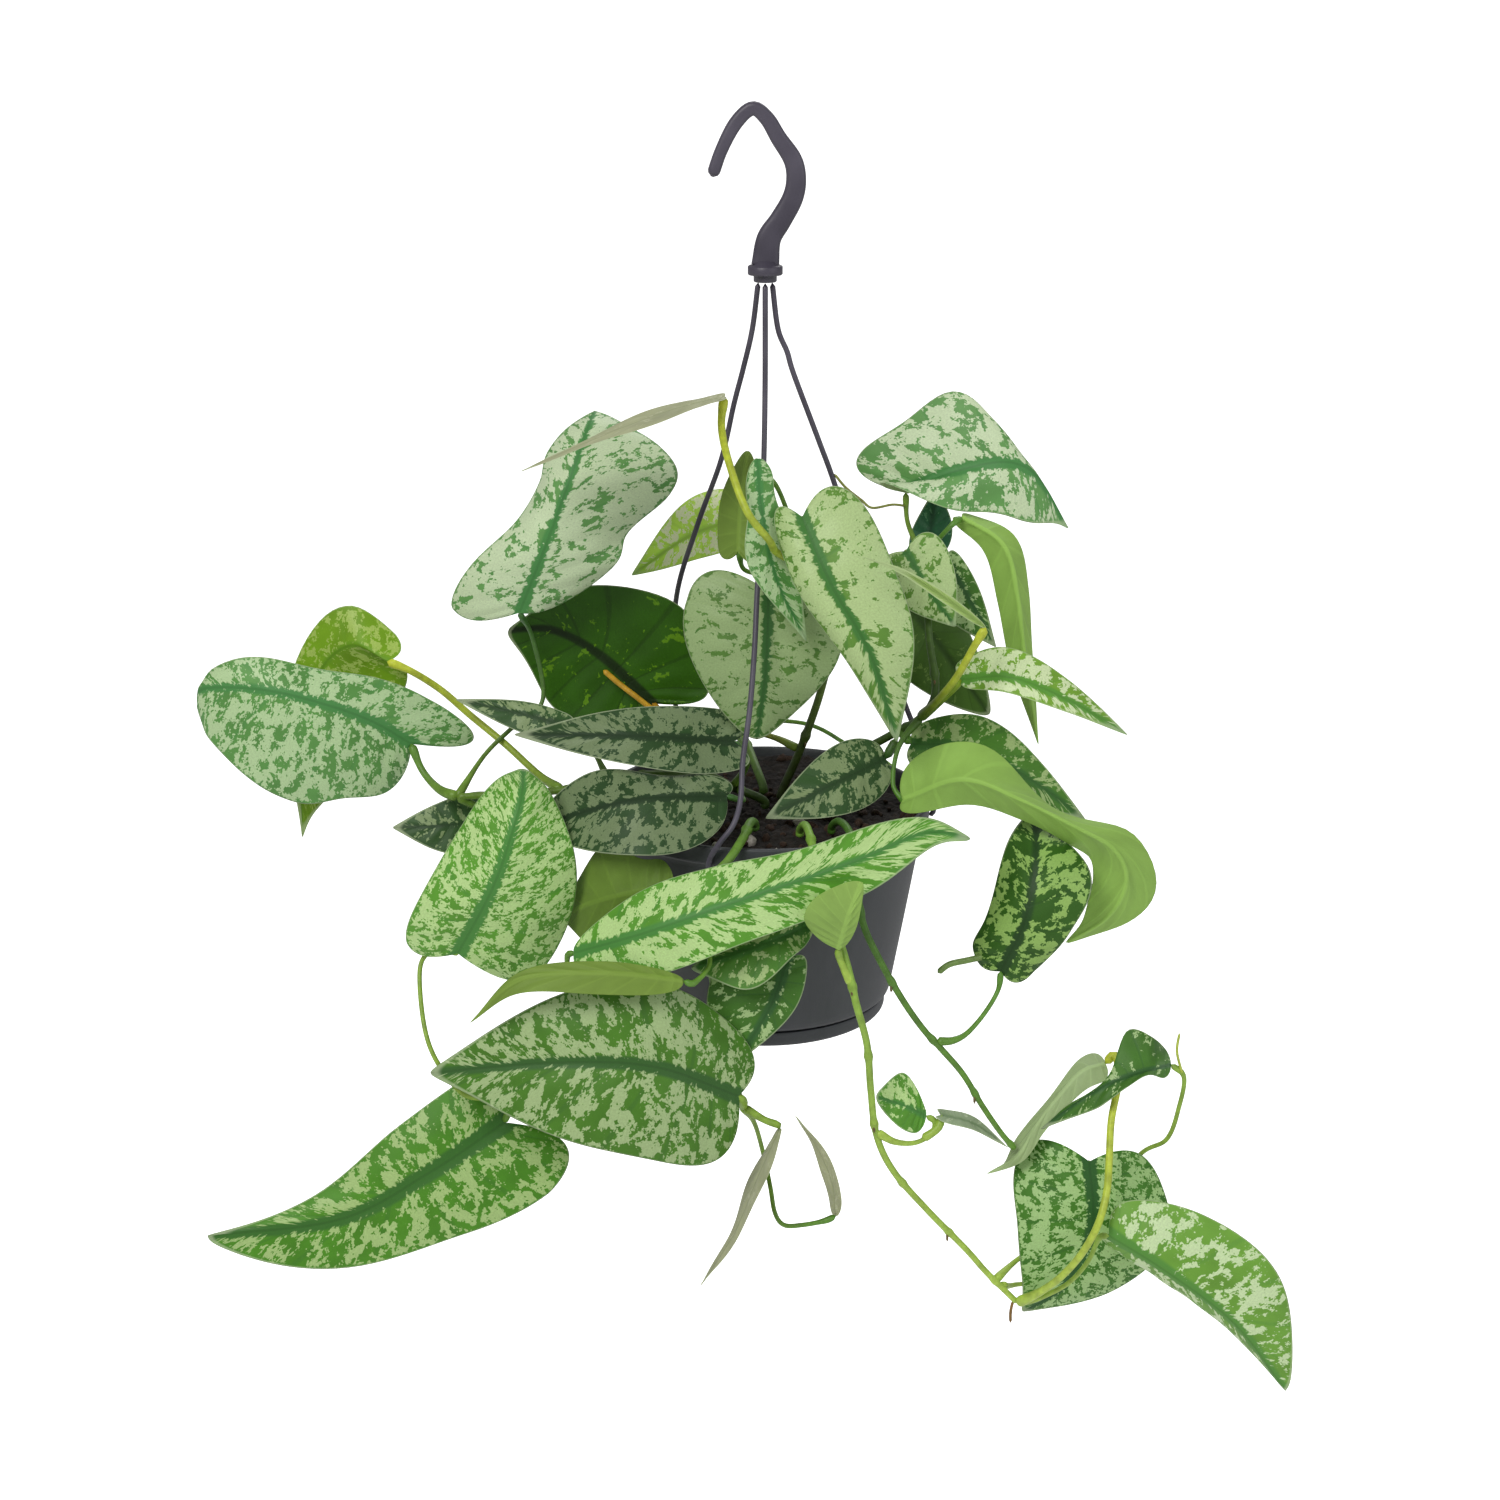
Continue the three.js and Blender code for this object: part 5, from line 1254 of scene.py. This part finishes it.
silver = node(tree, "HueSaturation", Color=attribute(tree, "silver"),
              Value=maths(tree, "MULTIPLY_ADD", speck, 0.45, 0.78)).outputs["Color"]
vein_line = side_veins(tree, tip_ward, 0.9, 0.35)
tissue = blend_colour(tree, vein_line, tissue, attribute(tree, "rib"))
tissue = blend_colour(tree, ramp(tree, maths(tree, "SUBTRACT", band, from_rib), -1.2, 0.6), tissue,
                      attribute(tree, "rib"))
whole = blend_colour(tree, silvered, tissue, silver)
rib_line = maths(tree, "MULTIPLY", maths(tree, "SUBTRACT", 1, ramp(tree, from_rib, 0.3, 0.8)), 0.5)
darker = node(tree, "HueSaturation", Color=attribute(tree, "rib"), Value=0.7).outputs["Color"]
whole = blend_colour(tree, rib_line, whole, darker)
margin_line = maths(tree, "MULTIPLY", maths(tree, "SUBTRACT", 1, ramp(tree, inward, 0.25, 0.6)), PALE_EDGE)
whole = blend_colour(tree, margin_line, whole, (0.62, 0.72, 0.45, 1))
tree.links.new(whole, surface.inputs["Base Color"])
surface.inputs["Specular IOR Level"].default_value = 0.3
satin = maths(tree, "MULTIPLY_ADD", silvered, -0.06, 0.5)
tree.links.new(satin, surface.inputs["Roughness"])
height = maths(tree, "MULTIPLY_ADD", silvered, 0.35, skin_cells(tree))
height = maths(tree, "MULTIPLY_ADD", vein_line, -1.2, height)
relief(tree, surface, height, 0.35, 0.00025)

leaf_under, tree, surface = new_material("leaf_underside")
across, along, inward = vein_places(tree)
from_rib = maths(tree, "ABSOLUTE", across)
tip_ward = base_to_tip(tree)
cloudy = vein_noise(tree, across, along, 0.1, 1.5, 3)
plain = node(tree, "HueSaturation", Color=attribute(tree, "under"),
             Value=maths(tree, "MULTIPLY_ADD", cloudy, 0.4, 0.8)).outputs["Color"]
lighter = node(tree, "HueSaturation", Color=attribute(tree, "under"), Value=1.2).outputs["Color"]
vein_line = side_veins(tree, tip_ward, 0.88, 0.5)
rib_line = maths(tree, "SUBTRACT", 1, ramp(tree, from_rib, 0.7, 1.5))
whole = blend_colour(tree, maths(tree, "MAXIMUM", vein_line, rib_line), plain, lighter)
tree.links.new(whole, surface.inputs["Base Color"])
surface.inputs["Roughness"].default_value = 0.6
surface.inputs["Specular IOR Level"].default_value = 0.3
height = maths(tree, "MULTIPLY_ADD", vein_line, 1.5, skin_cells(tree))
relief(tree, surface, height, 0.3, 0.00025)

for number, (name, leaf) in enumerate(LEAVES.items()):
    points, faces, under, vein, uv = leaf_blade(leaf, number)
    blade = mesh_piece("blade_" + name[-2:], points * MM, faces, [leaf_top, leaf_under], under, uv)
    tissue, silver, rib = TOPS[leaf["top"]]
    vector_layer(blade, "vein", vein)
    vector_layer(blade, "look", (leaf["cover"], leaf["band"], leaf.get("grain", 1)))
    colour_layer(blade, "tissue", paint(tissue))
    colour_layer(blade, "silver", paint(silver))
    colour_layer(blade, "rib", paint(rib))
    colour_layer(blade, "under", paint(UNDERSIDES[leaf["under"]]))
    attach(blade, "root")
    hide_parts(name)

# ---------------------------------------------------------------- leaf stalks
# Each blade's stalk is the slender, smooth part of the leaf below it: it thickens into a joint just
# under the blade and widens into a clasping sheath where it leaves the stem.

STALK_RADIUS, JOINT_RADIUS, SHEATH_RADIUS = 1.05, 1.5, 2.0
JOINT_LENGTH, SHEATH_LENGTH = 7, 12
STALK_SIDES, STALK_STEP = 12, 1.5
# Colour and thickness of each kind of stalk
STALKS = {
    "yellow": ("#c9d34c", 1.55), "light": ("#8fb04c", 1), "green": ("#5f8f38", 1), "dark": ("#3d6630", 1),
    "orange": ("#b98a34", 1.1), "stout": ("#5f8a38", 1.5), "sheath": ("#8ca82c", 1.35),
}


def stalk_radius(thickness):
    """Slender, with a bell-shaped joint at the blade's end and a sheath that widens towards the stem."""
    def size(u, length):
        near, far = u * length, (1 - u) * length
        past_joint = (near - JOINT_LENGTH / 2) / (JOINT_LENGTH / 2)
        joint = (JOINT_RADIUS - STALK_RADIUS) * np.exp(-(past_joint**2))
        sheath = (SHEATH_RADIUS - STALK_RADIUS) * np.exp(-((far / SHEATH_LENGTH) ** 2))
        return thickness * STALK_RADIUS + joint + sheath
    return size


for name in STEMS:
    parts, shades = [], []
    for leaf in LEAVES.values():
        if leaf["stem"] == name:
            colour, thickness = STALKS[leaf["stalk_shade"]]
            route = [leaf["midrib"][0], *leaf["stalk"]]
            points, faces = tube(route, stalk_radius(thickness), STALK_SIDES, STALK_STEP)
            parts.append((points, faces))
            fade = np.linspace(0, 1, len(points))[:, None]
            shades.append(paint(colour) * (1 - fade) + paint(STEMS[name]["tip"]) * fade)
    if parts:
        points, faces = joined(parts)
        stalks = mesh_piece("stalks_" + name, points * MM, faces, [stem_skin])
        colour_layer(stalks, "shade", np.vstack(shades))
        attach(stalks, "root")
        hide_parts(name)
